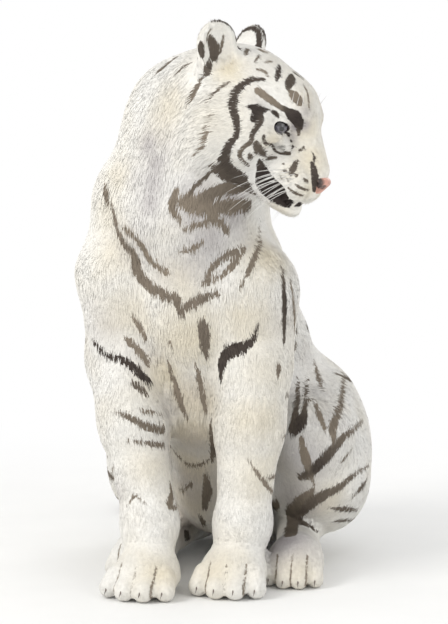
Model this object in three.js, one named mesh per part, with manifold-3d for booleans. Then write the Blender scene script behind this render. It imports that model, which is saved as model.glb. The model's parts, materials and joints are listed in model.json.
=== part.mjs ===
// A white tiger sitting upright with its head turned to its left, life size, as a still museum model.
// Millimetres, +Z up. The chest faces -Y, so the animal's left side is +X. It rests on the plane z = 0.
//
// The flesh is one smooth body: round masses and tapered lengths, laid along the bones and blended into
// each other. It is meshed whole, with the head and the paws finer, and parted by thin cuts into the
// named parts. Eyes, nose pad and claws are solids of their own, set into pockets in the flesh.

import * as THREE from "three";
import { mergeVertices } from "three/addons/utils/BufferGeometryUtils.js";
import { SimplifyModifier } from "three/addons/modifiers/SimplifyModifier.js";
import Module from "manifold-3d";

const wasm = await Module();
wasm.setup();

// ---------------------------------------------------------------- driving dimensions

const CUT = 0.5; // width of the thin cut between two parts
const POCKET = 0.8; // clearance round a nose pad or claw in its pocket
const FAR = 3000; // larger than the whole animal

// Bones of the trunk: joints named from the neck to the pelvis.
const NECK_TOP = [50, 36, 985];
const NECK_BASE = [-84, 120, 778];
const WITHERS = [-18, 205, 838];
const RIBS_TOP = [-33, 160, 720];
const RIBS_END = [-5, 335, 440];
const PELVIS = [8, 470, 262];
const SEAT = [10, 515, 124];

// Fore legs. side is 1 for the left leg and -1 for the right one. A paw is given by the middle of its sole,
// and heading is how far it points outwards or inwards from straight ahead, in degrees.
const FORE = {
  left: {
    side: 1,
    shoulder: [116, 64, 614],
    elbow: [118, 68, 458],
    wrist: [110, 12, 132],
    paw: [100, -20],
    heading: 3,
  },
  right: {
    side: -1,
    shoulder: [-166, 62, 640],
    elbow: [-161, 64, 458],
    wrist: [-77, -34, 132],
    paw: [-64, -86],
    heading: -3,
  },
};
const ARM_RADIUS = 92;
const ELBOW_RADIUS = 80;
const FOREARM_RADIUS = 68;
const WRIST_RADIUS = 54;

// Hind legs, folded under the body with the whole foot on the floor.
const HIND = {
  left: {
    side: 1,
    hip: [140, 425, 308],
    knee: [208, 218, 284],
    hock: [142, 412, 60],
    paw: [204, 98],
    heading: 6,
  },
  right: {
    side: -1,
    hip: [-116, 425, 318],
    knee: [-162, 222, 290],
    hock: [-104, 412, 60],
    paw: [-128, 104],
    heading: -4,
  },
};
const HIP_RADIUS = 150;
const KNEE_RADIUS = 86;
const SHANK_RADIUS = 72;
const HOCK_RADIUS = 50;

// The head: a frame of its own, whose axes are forward (along the muzzle), left and up. The eye and the
// ear are given in it.
const HEAD_SIZE = 0.89; // every measure in the head's frame is multiplied by this
const HEAD_CENTRE = [155, 0, 980];
const HEAD_TURN = 82; // degrees from straight ahead towards the animal's left
const HEAD_NOD = 30; // degrees down
const HEAD_TILT = -2; // degrees about the muzzle's own line; negative lifts the right ear
const EYE = { place: [64, 56, 7], radius: 20 };
const EAR = { base: [-122, 86, 50], height: 106, width: 48, thickness: 21 };
const LEFT_EAR_OPENS = [0.36, 0.93, 0.05];
const RIGHT_EAR_OPENS = [0.66, -0.72, 0.05];

const TOE_COUNT = 4;
const CLAW_LENGTH = 30;

// ---------------------------------------------------------------- small vector helpers

const add = (a, b) => a.map((v, i) => v + b[i]);
const scaled = (a, s) => a.map((v) => v * s);
const mixed = (a, b, t) => a.map((v, i) => v + (b[i] - v) * t);
const radians = THREE.MathUtils.degToRad;

// A frame is an origin and three unit axes, as columns of a 4 x 4 matrix.
function frameOf(origin, xAxis, yAxis, zAxis) {
  const axes = [xAxis, yAxis, zAxis].map((a) => new THREE.Vector3(...a));
  return new THREE.Matrix4().makeBasis(...axes).setPosition(...origin);
}

// The head's frame. Local x is forward, y is left, z is up.
function headFrame() {
  const turned = new THREE.Matrix4().makeRotationZ(radians(HEAD_TURN - 90));
  const nodded = new THREE.Matrix4().makeRotationY(radians(HEAD_NOD));
  const tilted = new THREE.Matrix4().makeRotationX(radians(HEAD_TILT));
  const frame = turned.multiply(nodded).multiply(tilted).setPosition(...HEAD_CENTRE);
  return frame.scale(new THREE.Vector3(HEAD_SIZE, HEAD_SIZE, HEAD_SIZE));
}
const HEAD = headFrame();

// The frame of a paw: local x is forward along the middle toes, y is to the animal's left, z is up.
function pawFrame(leg) {
  const turned = new THREE.Matrix4().makeRotationZ(radians(leg.heading - 90));
  return turned.setPosition(leg.paw[0], leg.paw[1], 0);
}

// ---------------------------------------------------------------- shapes of flesh
// A shape is a function of a point that gives the distance to its surface, negative inside.

function soften(a, b, width) {
  const near = Math.max(width - Math.abs(a - b), 0) / width;
  return (near * near * width) / 4;
}

// A round mass: an ellipsoid with these half sizes, turned by degrees about x, y and z.
function mass(centre, half, turn = [0, 0, 0]) {
  const m = new THREE.Matrix4()
    .makeRotationFromEuler(new THREE.Euler(...turn.map(radians), "ZYX"))
    .setPosition(...centre)
    .invert().elements;
  const [a, b, c] = half;
  return (x, y, z) => {
    const u = (m[0] * x + m[4] * y + m[8] * z + m[12]) / a;
    const v = (m[1] * x + m[5] * y + m[9] * z + m[13]) / b;
    const w = (m[2] * x + m[6] * y + m[10] * z + m[14]) / c;
    const size = Math.hypot(u, v, w);
    return (size * (size - 1)) / Math.max(Math.hypot(u / a, v / b, w / c), 1e-6);
  };
}

// A tapered length with round ends, from one point and radius to another.
function limb(from, to, startRadius, endRadius) {
  const [bx, by, bz] = to.map((v, i) => v - from[i]);
  const square = bx * bx + by * by + bz * bz;
  const drop = startRadius - endRadius;
  const slant = square - drop * drop;
  return (x, y, z) => {
    const px = x - from[0];
    const py = y - from[1];
    const pz = z - from[2];
    const along = px * bx + py * by + pz * bz;
    const past = along - square;
    const off =
      (px * square - bx * along) ** 2 + (py * square - by * along) ** 2 + (pz * square - bz * along) ** 2;
    const k = Math.sign(drop) * drop * drop * off;
    if (Math.sign(past) * slant * past * past * square > k) {
      return Math.sqrt(off + past * past * square) / square - endRadius;
    }
    if (Math.sign(along) * slant * along * along * square < k) {
      return Math.sqrt(off + along * along * square) / square - startRadius;
    }
    return (Math.sqrt((off * slant) / square) + along * drop) / square - startRadius;
  };
}

// The same shape in a local frame, which may have one scale for all three axes.
function placed(frame, shape) {
  const m = frame.clone().invert().elements;
  const size = new THREE.Vector3().setFromMatrixScale(frame).x;
  return (x, y, z) =>
    size * shape(
      m[0] * x + m[4] * y + m[8] * z + m[12],
      m[1] * x + m[5] * y + m[9] * z + m[13],
      m[2] * x + m[6] * y + m[10] * z + m[14],
    );
}

// Joins layers [shape, blend width] into one shape, in order. A layer marked "cut" is taken away instead.
function body(layers) {
  return (x, y, z) => {
    let d = 1e6;
    for (const [shape, width, kind] of layers) {
      const e = kind === "cut" ? -shape(x, y, z) : shape(x, y, z);
      d = kind === "cut" ? Math.max(d, e) + soften(d, e, width) : Math.min(d, e) - soften(d, e, width);
    }
    return d;
  };
}

// ---------------------------------------------------------------- the animal's flesh, region by region

function trunkLayers() {
  return [
    [limb(RIBS_TOP, RIBS_END, 151, 173), 60],
    [limb(RIBS_END, PELVIS, 172, 168), 60],
    [mass(SEAT, [172, 138, 150]), 60],
    [mass([-12, 62, 600], [132, 118, 190], [8, 0, 0]), 60], // breast, between the fore legs
    [mass([-8, 150, 395], [118, 120, 130], [28, 0, 0]), 60], // brisket, drawn up behind the elbows
    [limb([-6, 190, 330], [-4, 246, 150], 104, 92), 60], // belly, hanging between the legs
    [mass(WITHERS, [118, 112, 78], [-35, 0, 0]), 70],
    [limb([-40, 190, 700], [-28, 245, 800], 148, 110), 60], // shoulder blades under the hide
  ];
}

function neckLayers() {
  return [
    [limb(NECK_BASE, NECK_TOP, 160, 135), 60],
    [mass([-45, 68, 948], [112, 92, 141]), 50], // nape
    [limb([-18, 34, 760], [32, -4, 895], 122, 92), 50], // throat
  ];
}

function foreArmLayers(leg) {
  const out = leg.side;
  const blade = add(leg.shoulder, [-out * 30, 74, 44]);
  const triceps = mixed(leg.shoulder, leg.elbow, 0.45);
  return [
    [limb(blade, leg.shoulder, 78, 86), 50],
    [limb(leg.shoulder, leg.elbow, ARM_RADIUS, ELBOW_RADIUS - 4), 40],
    [mass(add(triceps, [out * 8, 46, 12]), [66, 70, 110], [14, 0, 0]), 40],
    [mass(add(leg.elbow, [out * 4, 34, -6]), [44, 46, 58]), 30], // point of the elbow
  ];
}

function foreShankLayers(leg) {
  const middle = mixed(leg.elbow, leg.wrist, 0.42);
  const pastern = [mixed(leg.wrist, [...leg.paw, 0], 0.6)[0], leg.paw[1] + 16, 70];
  return [
    [limb(leg.elbow, middle, ELBOW_RADIUS, FOREARM_RADIUS), 30],
    [limb(middle, leg.wrist, FOREARM_RADIUS, WRIST_RADIUS), 30],
    [mass(add(middle, [leg.side * 10, -12, 52]), [58, 56, 92], [-6, 0, 0]), 40], // forearm muscle
    [mass(add(leg.wrist, [0, -6, 0]), [55, 53, 54]), 26],
    [limb(leg.wrist, pastern, 52, 50), 30],
  ];
}

// Places of the toes across a paw: sideways, reach forward and width, for a paw of this width.
function toesOf(width, reach) {
  return Array.from({ length: TOE_COUNT }, (_, i) => {
    const across = i - (TOE_COUNT - 1) / 2;
    const outer = Math.abs(across) > 1;
    const radius = width * (outer ? 0.136 : 0.148);
    return { across: across * width * 0.235, reach: reach - (outer ? 22 : 0), radius };
  });
}

function pawLayers(leg, width, reach, back) {
  const frame = pawFrame(leg);
  const layers = [
    [placed(frame, limb([back, 0, 40], [38, 0, 38], 44, 46)), 30],
    [placed(frame, mass([18, 0, 34], [72, width * 0.43, 42])), 26],
    [placed(frame, mass([14, 0, 50], [58, width * 0.38, 40], [0, 24, 0])), 24], // top of the paw
  ];
  for (const toe of toesOf(width, reach)) {
    const knuckle = [reach * 0.42, toe.across * 0.92, 42];
    const tip = [toe.reach - toe.radius, toe.across * 1.06, toe.radius - 1];
    layers.push([placed(frame, limb(knuckle, tip, toe.radius * 1.06, toe.radius)), 11]);
  }
  return layers;
}

const FORE_PAW = { width: 160, reach: 118, back: -26 };
const HIND_PAW = { width: 130, reach: 108, back: -60 };

function hindLegLayers(leg) {
  const out = leg.side;
  const thigh = mixed(leg.hip, leg.knee, 0.42);
  return [
    [limb(leg.hip, leg.knee, HIP_RADIUS - 20, KNEE_RADIUS), 55],
    [mass(add(thigh, [out * 24, 6, -72]), [122, 165, 158], [10, 0, 0]), 50],
    [limb(leg.knee, leg.hock, SHANK_RADIUS + 10, HOCK_RADIUS), 40],
    [mass(add(leg.knee, [out * 12, 92, -128]), [74, 120, 66], [-8, 0, 0]), 50], // calf
    [mass(add(leg.hip, [out * 76, -34, -168]), [66, 120, 84]), 50], // hamstring, spread on the ground
    [limb(leg.hock, [leg.paw[0], leg.paw[1], 46], HOCK_RADIUS, 44), 26],
  ];
}

function headLayers() {
  const both = (shape, width, kind) => [1, -1].map((s) => [placed(HEAD, shape(s)), width, kind]);
  const one = (shape, width, kind) => [[placed(HEAD, shape), width, kind]];
  return [
    ...one(mass([-46, 0, 30], [122, 106, 96]), 40), // braincase
    ...one(mass([46, 0, 48], [70, 72, 64]), 34), // forehead
    ...both((s) => mass([88, s * 36, 44], [30, 30, 26]), 22), // brow
    ...one(limb([88, 0, 24], [172, 0, -46], 42, 33), 26), // bridge of the nose
    ...both((s) => mass([-8, s * 76, -16], [82, 50, 54]), 34), // cheekbone
    ...both((s) => mass([-22, s * 84, -66], [82, 52, 84]), 34), // chewing muscle
    ...both((s) => mass([-54, s * 106, -80], [56, 52, 92], [0, -10, 0]), 30), // ruff
    ...both((s) => mass([148, s * 36, -88], [54, 40, 44], [0, 20, 0]), 18), // whisker pad
    ...one(mass([182, 0, -66], [26, 31, 26]), 14), // tip of the muzzle
    ...one(mass([178, 0, -102], [26, 34, 26]), 16), // front of the upper lip
    ...one(mass([96, 0, -88], [78, 62, 58], [0, 14, 0]), 26), // upper jaw
    ...both((s) => limb([124, s * 17, -140], [0, s * 62, -112], 29, 46), 18), // lower jaw
    ...one(mass([146, 0, -144], [46, 37, 29], [0, 8, 0]), 14), // chin
    ...one(mass([10, 0, -128], [80, 66, 50]), 30), // floor of the mouth and throat
    ...both((s) => mass([88, s * 74, 6], [26, 22, 17], [0, 0, s * 44]), 14, "cut"), // eye hollow
    ...both((s) => limb([180, s * 22, -132], [140, s * 58, -118], 8, 13), 8, "cut"), // parted lips
    ...both((s) => limb([140, s * 58, -118], [92, s * 72, -104], 13, 8), 8, "cut"), // corner of the mouth
  ];
}

// The ear's own frame: x across the ear, y out of its open side, z up the ear.
function earFrame(s) {
  const up = new THREE.Vector3(-0.4, s * 0.34, 0.85).normalize();
  const open = new THREE.Vector3(...(s > 0 ? LEFT_EAR_OPENS : RIGHT_EAR_OPENS));
  open.addScaledVector(up, -open.dot(up)).normalize();
  const across = new THREE.Vector3().crossVectors(open, up);
  const base = [EAR.base[0], s * EAR.base[1], EAR.base[2]];
  return HEAD.clone().multiply(frameOf(base, across.toArray(), open.toArray(), up.toArray()));
}

function earLayers(s) {
  const frame = earFrame(s);
  const half = EAR.height / 2;
  return [
    [placed(frame, mass([0, 0, half - 2], [EAR.width, EAR.thickness, half + 4])), 26],
    [placed(frame, mass([0, 0, 4], [EAR.width * 0.9, 34, 30])), 26],
    [placed(frame, mass([0, 25, half + 2], [EAR.width * 0.74, 22, half * 0.84])), 8, "cut"],
  ];
}

const TAIL_ROUTE = new THREE.CatmullRomCurve3(
  [
    [2, 590, 130], [0, 665, 62], [-22, 748, 35], [-84, 832, 31],
    [-172, 872, 30], [-262, 858, 29], [-318, 790, 28], [-322, 712, 27],
  ].map((p) => new THREE.Vector3(...p)),
);
const TAIL_RADII = [52, 27];
const TAIL_STEPS = 18;

function tailLayers() {
  const points = TAIL_ROUTE.getSpacedPoints(TAIL_STEPS);
  return points.slice(1).map((p, i) => {
    const radius = (step) => THREE.MathUtils.lerp(...TAIL_RADII, Math.min(1, (step / TAIL_STEPS) ** 0.6));
    return [limb(points[i].toArray(), p.toArray(), radius(i), radius(i + 1)), 24];
  });
}

const forelegs = Object.values(FORE);
const hindlegs = Object.values(HIND);
const wholeFlesh = body([
  ...trunkLayers(),
  ...forelegs.flatMap(foreArmLayers),
  ...hindlegs.flatMap(hindLegLayers),
  ...neckLayers(),
  ...headLayers(),
  ...earLayers(1),
  ...earLayers(-1),
  ...forelegs.flatMap(foreShankLayers),
  ...tailLayers(),
  ...forelegs.flatMap((leg) => pawLayers(leg, ...Object.values(FORE_PAW))),
  ...hindlegs.flatMap((leg) => pawLayers(leg, ...Object.values(HIND_PAW))),
]);
const foreFlesh = (leg) => body([...foreShankLayers(leg), ...pawLayers(leg, ...Object.values(FORE_PAW))]);
const hindFlesh = (leg) => body([...hindLegLayers(leg), ...pawLayers(leg, ...Object.values(HIND_PAW))]);

// ---------------------------------------------------------------- from a shape to a closed mesh

// The corners, edges and faces of a grid cell. Corner c lies at (c & 1, c & 2, c & 4).
const CORNERS = [0, 1, 2, 3, 4, 5, 6, 7].map((c) => [c & 1, (c >> 1) & 1, c >> 2]);
const EDGES = CORNERS.flatMap((_, c) => [1, 2, 4].filter((bit) => !(c & bit)).map((bit) => [c, c | bit]));
const FACES = [1, 2, 4].flatMap((bit) => [0, bit].map((side) => ({ bit, side })));

// The edges that the surface crosses in a cell, grouped by the sheets of surface that pass through it.
function sheetsIn(v) {
  const crossed = EDGES.filter(([a, b]) => v[a] < 0 !== v[b] < 0);
  const group = crossed.map((_, i) => i);
  const inner = ([a, b]) => (v[a] < 0 ? a : b);
  const join = (i, j) => {
    const [from, to] = [group[i], group[j]];
    group.forEach((g, e) => (group[e] = g === from ? to : g));
  };
  for (const { bit, side } of FACES) {
    const here = crossed.map((_, i) => i).filter((i) => crossed[i].every((c) => (c & bit) === side));
    for (const i of here) {
      for (const j of here) {
        if (here.length === 2 || inner(crossed[i]) === inner(crossed[j])) join(i, j);
      }
    }
  }
  return [...new Set(group)].map((g) => crossed.filter((_, i) => group[i] === g));
}

// Surface nets: one vertex for each sheet of surface in a cell, drawn onto the surface, and one quad
// round each grid edge that the surface crosses.
function netOf(shape, low, high, cell) {
  const n = low.map((v, i) => Math.ceil((high[i] - v) / cell) + 1);
  const at = (i, j, k) => (k * n[1] + j) * n[0] + i;
  const value = new Float32Array(n[0] * n[1] * n[2]);
  for (let k = 0; k < n[2]; k++) {
    for (let j = 0; j < n[1]; j++) {
      for (let i = 0; i < n[0]; i++) {
        const edge = i === 0 || j === 0 || k === 0 || i === n[0] - 1 || j === n[1] - 1 || k === n[2] - 1;
        const d = shape(low[0] + i * cell, low[1] + j * cell, low[2] + k * cell);
        value[at(i, j, k)] = edge ? Math.max(d, cell * 0.3) : d;
      }
    }
  }
  const vertexOf = new Map();
  const positions = [];
  for (let k = 0; k < n[2] - 1; k++) {
    for (let j = 0; j < n[1] - 1; j++) {
      for (let i = 0; i < n[0] - 1; i++) {
        const v = CORNERS.map(([a, b, c]) => value[at(i + a, j + b, k + c)]);
        for (const sheet of sheetsIn(v)) {
          let sum = [0, 0, 0];
          for (const [a, b] of sheet) {
            sum = add(sum, mixed(CORNERS[a], CORNERS[b], v[a] / (v[a] - v[b])));
          }
          const inCell = scaled(sum, 1 / sheet.length);
          const p = [i, j, k].map((g, axis) => low[axis] + (g + inCell[axis]) * cell);
          for (const [a, b] of sheet) vertexOf.set(at(i, j, k) * 64 + a * 8 + b, positions.length / 3);
          positions.push(...drawnOnto(shape, p, cell * 0.35));
        }
      }
    }
  }
  const index = [];
  const cornerOf = ([x, y, z]) => x + 2 * y + 4 * z;
  for (let k = 0; k < n[2] - 1; k++) {
    for (let j = 0; j < n[1] - 1; j++) {
      for (let i = 0; i < n[0] - 1; i++) {
        for (let axis = 0; axis < 3; axis++) {
          const inside = value[at(i, j, k)] < 0;
          const next = [i, j, k].map((g, a) => g + (a === axis ? 1 : 0));
          if (inside === value[at(...next)] < 0) continue;
          const axisAfter = (turn) => [0, 1, 2].map((a) => ((axis + turn) % 3 === a ? 1 : 0));
          const [along, s, t] = [0, 1, 2].map(axisAfter);
          const q = [[0, 0], [1, 0], [1, 1], [0, 1]].map(([a, b]) => {
            const back = add(scaled(s, a), scaled(t, b));
            const start = cornerOf(back);
            const home = at(i - back[0], j - back[1], k - back[2]);
            return vertexOf.get(home * 64 + start * 8 + start + cornerOf(along));
          });
          index.push(...splitQuad(inside ? q : q.reverse(), positions));
        }
      }
    }
  }
  const geometry = new THREE.BufferGeometry();
  geometry.setAttribute("position", new THREE.Float32BufferAttribute(positions, 3));
  geometry.setIndex(index);
  return geometry;
}

// Moves a point onto the surface along its slope, by at most this reach.
function drawnOnto(shape, point, reach) {
  const step = 1;
  const d = shape(...point);
  const slope = [0, 1, 2].map((a) => (shape(...point.map((v, i) => v + (i === a ? step : 0))) - d) / step);
  const square = slope.reduce((s, v) => s + v * v, 0);
  const move = THREE.MathUtils.clamp(-d / Math.max(square, 0.05), -reach, reach);
  return add(point, scaled(slope, move));
}

// Two triangles from a quad, split along its shorter diagonal.
function splitQuad([a, b, c, d], positions) {
  const gap = (p, q) => Math.hypot(...[0, 1, 2].map((i) => positions[p * 3 + i] - positions[q * 3 + i]));
  return gap(a, c) < gap(b, d) ? [a, b, c, a, c, d] : [a, b, d, b, c, d];
}

function solidOf(geometry) {
  const bare = geometry.clone();
  bare.deleteAttribute("normal");
  bare.deleteAttribute("uv");
  const merged = mergeVertices(bare, 1e-4);
  return new wasm.Manifold(
    new wasm.Mesh({
      numProp: 3,
      vertProperties: merged.attributes.position.array,
      triVerts: new Uint32Array(merged.index.array),
    }),
  );
}

function geometryOf(solid) {
  const { vertProperties, triVerts } = solid.getMesh();
  const geometry = new THREE.BufferGeometry();
  geometry.setAttribute("position", new THREE.BufferAttribute(new Float32Array(vertProperties), 3));
  geometry.setIndex(new THREE.BufferAttribute(triVerts, 1));
  return geometry;
}

// The half of space in front of a point, seen along a direction, moved forward by half a cut.
function ahead(point, direction, shift = CUT / 2) {
  const along = new THREE.Vector3(...direction).normalize();
  const turn = new THREE.Quaternion().setFromUnitVectors(new THREE.Vector3(0, 0, 1), along);
  const block = new THREE.BoxGeometry(FAR, FAR, FAR).translate(0, 0, FAR / 2 + shift);
  return solidOf(block.applyQuaternion(turn).translate(...point));
}
const behind = (point, direction) => ahead(point, scaled(direction, -1));

// A box between two corners, turned in a frame, and grown on every side.
function room(low, high, frame = new THREE.Matrix4(), grown = 0) {
  const size = low.map((v, i) => high[i] - v + 2 * grown);
  const middle = mixed(low, high, 0.5);
  return solidOf(new THREE.BoxGeometry(...size).translate(...middle).applyMatrix4(frame));
}

const directionIn = (frame, d) => new THREE.Vector3(...d).transformDirection(frame).toArray();
const pointIn = (frame, p) => new THREE.Vector3(...p).applyMatrix4(frame).toArray();

// ---------------------------------------------------------------- where the parts are cut

const floor = ahead([0, 0, 0], [0, 0, 1], 0);
const headCut = [pointIn(HEAD, [-112, 0, -45]), directionIn(HEAD, [0.895, 0, 0.447])];
const neckCut = [[-20, 100, 838], [0.22, -0.3, 0.92]];
const waistCut = [[0, 322, 442], [-0.03, -0.5, 0.86]];
const jawHinge = [60, 0, -118];

// The room of a whole fore leg: outside a wall along the leg's inner side, and in front of one behind it.
function foreRoom(leg, grown = 0) {
  const up = new THREE.Vector3(...add(leg.elbow, scaled(leg.wrist, -1))).normalize();
  const across = new THREE.Vector3(1, 0, 0).addScaledVector(up, -up.x).normalize();
  const back = new THREE.Vector3().crossVectors(up, across);
  const origin = add(leg.elbow, [-leg.side * 66, 0, 0]);
  const frame = frameOf(origin, across.toArray(), back.toArray(), up.toArray());
  const [inner, outer] = leg.side > 0 ? [0, FAR] : [-FAR, 0];
  return room([inner, -400, -FAR], [outer, 84, 225], frame, grown);
}

// The room of a whole hind leg: everything outside the pelvis, below the haunch, with the foot in front.
function hindRoom(leg, grown = 0) {
  const frame = new THREE.Matrix4().makeRotationY(radians(-leg.side * 8));
  frame.setPosition(leg.hip[0] - leg.side * 22, 0, 250);
  const [inner, outer] = leg.side > 0 ? [0, FAR] : [-FAR, 0];
  const haunch = room([inner, 128, -FAR], [outer, 590, 262], frame, grown);
  const alongFoot = Math.atan2(leg.paw[0] - leg.hock[0], leg.hock[1] - leg.paw[1]);
  const besideFoot = leg.paw[0] - leg.side * 80;
  const footFrame = new THREE.Matrix4().makeRotationZ(alongFoot).setPosition(besideFoot, leg.paw[1], 0);
  const foot = room([inner, -200, -FAR], [outer, 390, 155], footFrame, grown);
  const beside = forelegs.find((fore) => fore.side === leg.side);
  return haunch.add(foot).subtract(foreRoom(beside, CUT - grown));
}

function earRoom(s, grown = 0) {
  return room([-66, -50, 20], [66, 60, 200], earFrame(s), grown);
}

function jawRoom(grown = 0) {
  const dropped = new THREE.Matrix4().makeRotationY(radians(16)).setPosition(...jawHinge);
  return room([24, -80, -80], [200, 80, 0], HEAD.clone().multiply(dropped), grown);
}

function cutBetween(meshed, keep, lose = []) {
  let solid = meshed.intersect(floor);
  for (const other of keep) solid = solid.intersect(other);
  for (const other of lose) solid = solid.subtract(other);
  // A cut can leave a crumb of flesh in a corner of the room: the part is the largest piece.
  return solid.decompose().sort((a, b) => b.volume() - a.volume())[0];
}

// A closed mesh of a shape, thinned to this share of its points: few on flat flesh, more where it bends.
async function meshed(shape, low, high, cell, share) {
  const net = netOf(shape, low, high, cell);
  const thinned = Math.floor(net.attributes.position.count * (1 - share));
  return solidOf(await new SimplifyModifier().modify(net, thinned));
}

// ---------------------------------------------------------------- eyes, nose pad and claws

function eyeBall(s, grown = 0) {
  const ball = new THREE.SphereGeometry(EYE.radius + grown, 10, 7).rotateZ(Math.PI / 2);
  return ball.translate(EYE.place[0], s * EYE.place[1], EYE.place[2]).applyMatrix4(HEAD);
}

function noseShape(grown = 0) {
  const pad = body([
    [mass([203, 0, -60], [15 + grown, 27 + grown, 14 + grown], [0, -28, 0]), 8],
    [mass([199, 0, -76], [13 + grown, 17 + grown, 16 + grown], [0, 10, 0]), 10],
  ]);
  return placed(HEAD, pad);
}

function noseSolid(grown = 0) {
  const [low, high] = boundsAround(pointIn(HEAD, [200, 0, -66]), 44);
  return meshed(noseShape(grown), low, high, 7.5, 0.7);
}

const boundsAround = (p, r) => [p.map((v) => v - r), p.map((v) => v + r)];

// A claw: a cone bent downwards in its own plane, narrow from side to side.
function clawGeometry(length, radius) {
  const cone = new THREE.ConeGeometry(radius, length, 6, 2).rotateZ(-Math.PI / 2);
  const bend = 0.95 / length;
  const place = cone.attributes.position;
  for (let i = 0; i < place.count; i++) {
    const along = place.getX(i) + length / 2;
    const angle = along * bend;
    const off = place.getY(i);
    place.setXYZ(
      i,
      Math.sin(angle) / bend + off * Math.sin(angle),
      -place.getZ(i) * 0.62,
      (Math.cos(angle) - 1) / bend + off * Math.cos(angle),
    );
  }
  return cone;
}

function clawsOf(leg, { width, reach }) {
  return toesOf(width, reach).map((toe) => {
    const place = new THREE.Matrix4().makeTranslation(toe.reach - 17, toe.across * 1.06, toe.radius + 3);
    const frame = pawFrame(leg).multiply(place);
    const grown = new THREE.Matrix4().makeTranslation(-POCKET, 0, 0);
    return {
      claw: solidOf(clawGeometry(CLAW_LENGTH, 5.6).applyMatrix4(frame)),
      pocket: solidOf(
        clawGeometry(CLAW_LENGTH + 2 * POCKET, 5.6 + POCKET).applyMatrix4(frame.clone().multiply(grown)),
      ),
    };
  });
}

// ---------------------------------------------------------------- the parts

const colours = {
  coat: { color: 0xe9e5da, roughness: 0.85, metalness: 0 },
  eye: { color: 0x615f69, roughness: 0.1, metalness: 0 },
  nose: { color: 0xc9988a, roughness: 0.45, metalness: 0 },
  claw: { color: 0x6b6459, roughness: 0.4, metalness: 0 },
};
const materials = Object.fromEntries(
  Object.entries(colours).map(([name, look]) => [name, new THREE.MeshStandardMaterial(look)]),
);

const tiger = new THREE.Group();
function addPart(name, solid, material) {
  const mesh = new THREE.Mesh(geometryOf(solid), materials[material]);
  mesh.name = name;
  tiger.add(mesh);
}

const sides = [["left", 1], ["right", -1]];

async function addHead() {
  const pockets = sides.map(([, s]) => solidOf(eyeBall(s, CUT)));
  const nosePocket = await noseSolid(2 * POCKET);
  const keepOut = [earRoom(1, CUT), earRoom(-1, CUT), jawRoom(CUT), nosePocket, ...pockets];
  const whole = await meshed(wholeFlesh, ...boundsAround(HEAD_CENTRE, 260), 11, 0.128);
  const flesh = whole.intersect(ahead(...neckCut));
  addPart("head", cutBetween(flesh, [ahead(...headCut)], keepOut), "coat");
  addPart("lower_jaw", cutBetween(flesh, [jawRoom()]), "coat");
  addPart("nose", await noseSolid(), "nose");
  for (const [name, s] of sides) {
    addPart(`ear_${name}`, cutBetween(flesh, [earRoom(s)]), "coat");
    addPart(`eye_${name}`, solidOf(eyeBall(s)), "eye");
  }
}

async function addBody() {
  const flesh = await meshed(wholeFlesh, [-360, -240, -60], [400, 930, 1240], 21, 0.165);
  const tailCuts = [
    [[0, 652, 90], [0, 1, -0.25]],
    [[-100, 842, 0], [-0.86, 0.5, 0]],
    [[-290, 832, 0], [-0.6, -0.8, 0]],
  ];
  const foreRooms = forelegs.map((leg) => foreRoom(leg, CUT));
  const legs = [...foreRooms, ...hindlegs.map((leg) => hindRoom(leg, CUT))];
  const ears = [earRoom(1, CUT), earRoom(-1, CUT)];
  addPart("neck", cutBetween(flesh, [behind(...headCut), ahead(...neckCut)], ears), "coat");
  addPart("chest", cutBetween(flesh, [behind(...neckCut), ahead(...waistCut)], legs), "coat");
  addPart("rump", cutBetween(flesh, [behind(...waistCut), behind(...tailCuts[0])], legs), "coat");
  for (const [name] of sides) {
    await addForeLeg(name, FORE[name], flesh);
    await addHindLeg(name, HIND[name], flesh);
  }
  const tail = flesh.intersect(ahead(...tailCuts[0]));
  addPart("tail_base", cutBetween(tail, [behind(...tailCuts[1])]), "coat");
  addPart("tail_middle", cutBetween(tail, [ahead(...tailCuts[1]), behind(...tailCuts[2])]), "coat");
  addPart("tail_tip", cutBetween(tail, [ahead(...tailCuts[1]), ahead(...tailCuts[2])]), "coat");
}

async function addForeLeg(name, leg, flesh) {
  const slab = foreRoom(leg);
  const elbowCut = [[leg.elbow[0], leg.elbow[1], 418], [0, 0.12, 1]];
  const wristCut = [[leg.wrist[0], leg.wrist[1], 124], [0, -0.1, 1]];
  addPart(`foreleg_${name}_upper`, cutBetween(flesh, [slab, ahead(...elbowCut)]), "coat");
  const lower = cutBetween(flesh, [slab, behind(...elbowCut), ahead(...wristCut)]);
  addPart(`foreleg_${name}_lower`, lower, "coat");
  const [x, y] = leg.paw;
  const paw = await meshed(foreFlesh(leg), [x - 120, y - 150, -30], [x + 120, y + 130, 190], 13, 0.13);
  addPaw(`paw_front_${name}`, leg, FORE_PAW, paw, [behind(...wristCut)]);
}

async function addHindLeg(name, leg, flesh) {
  const slab = hindRoom(leg);
  const shankCut = [[0, 300, 128], [0, 0.12, 1]];
  const ankleCut = [[0, leg.paw[1] + 52, 0], [0, 1, 0.1]];
  addPart(`thigh_${name}`, cutBetween(flesh, [slab, ahead(...shankCut)]), "coat");
  addPart(`hock_${name}`, cutBetween(flesh, [slab, behind(...shankCut), ahead(...ankleCut)]), "coat");
  const [x, y] = leg.paw;
  const paw = await meshed(hindFlesh(leg), [x - 110, y - 140, -30], [x + 110, y + 120, 160], 13, 0.13);
  addPaw(`paw_hind_${name}`, leg, HIND_PAW, paw, [behind(...ankleCut), behind(...shankCut)]);
}

function addPaw(name, leg, size, flesh, keep) {
  const claws = clawsOf(leg, size);
  const pockets = claws.map(({ pocket }) => pocket);
  addPart(name, cutBetween(flesh, keep, pockets), "coat");
  claws.forEach(({ claw }, i) => addPart(`claw_${name.slice(4)}_${i + 1}`, claw, "claw"));
}

await addHead();
await addBody();

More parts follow.
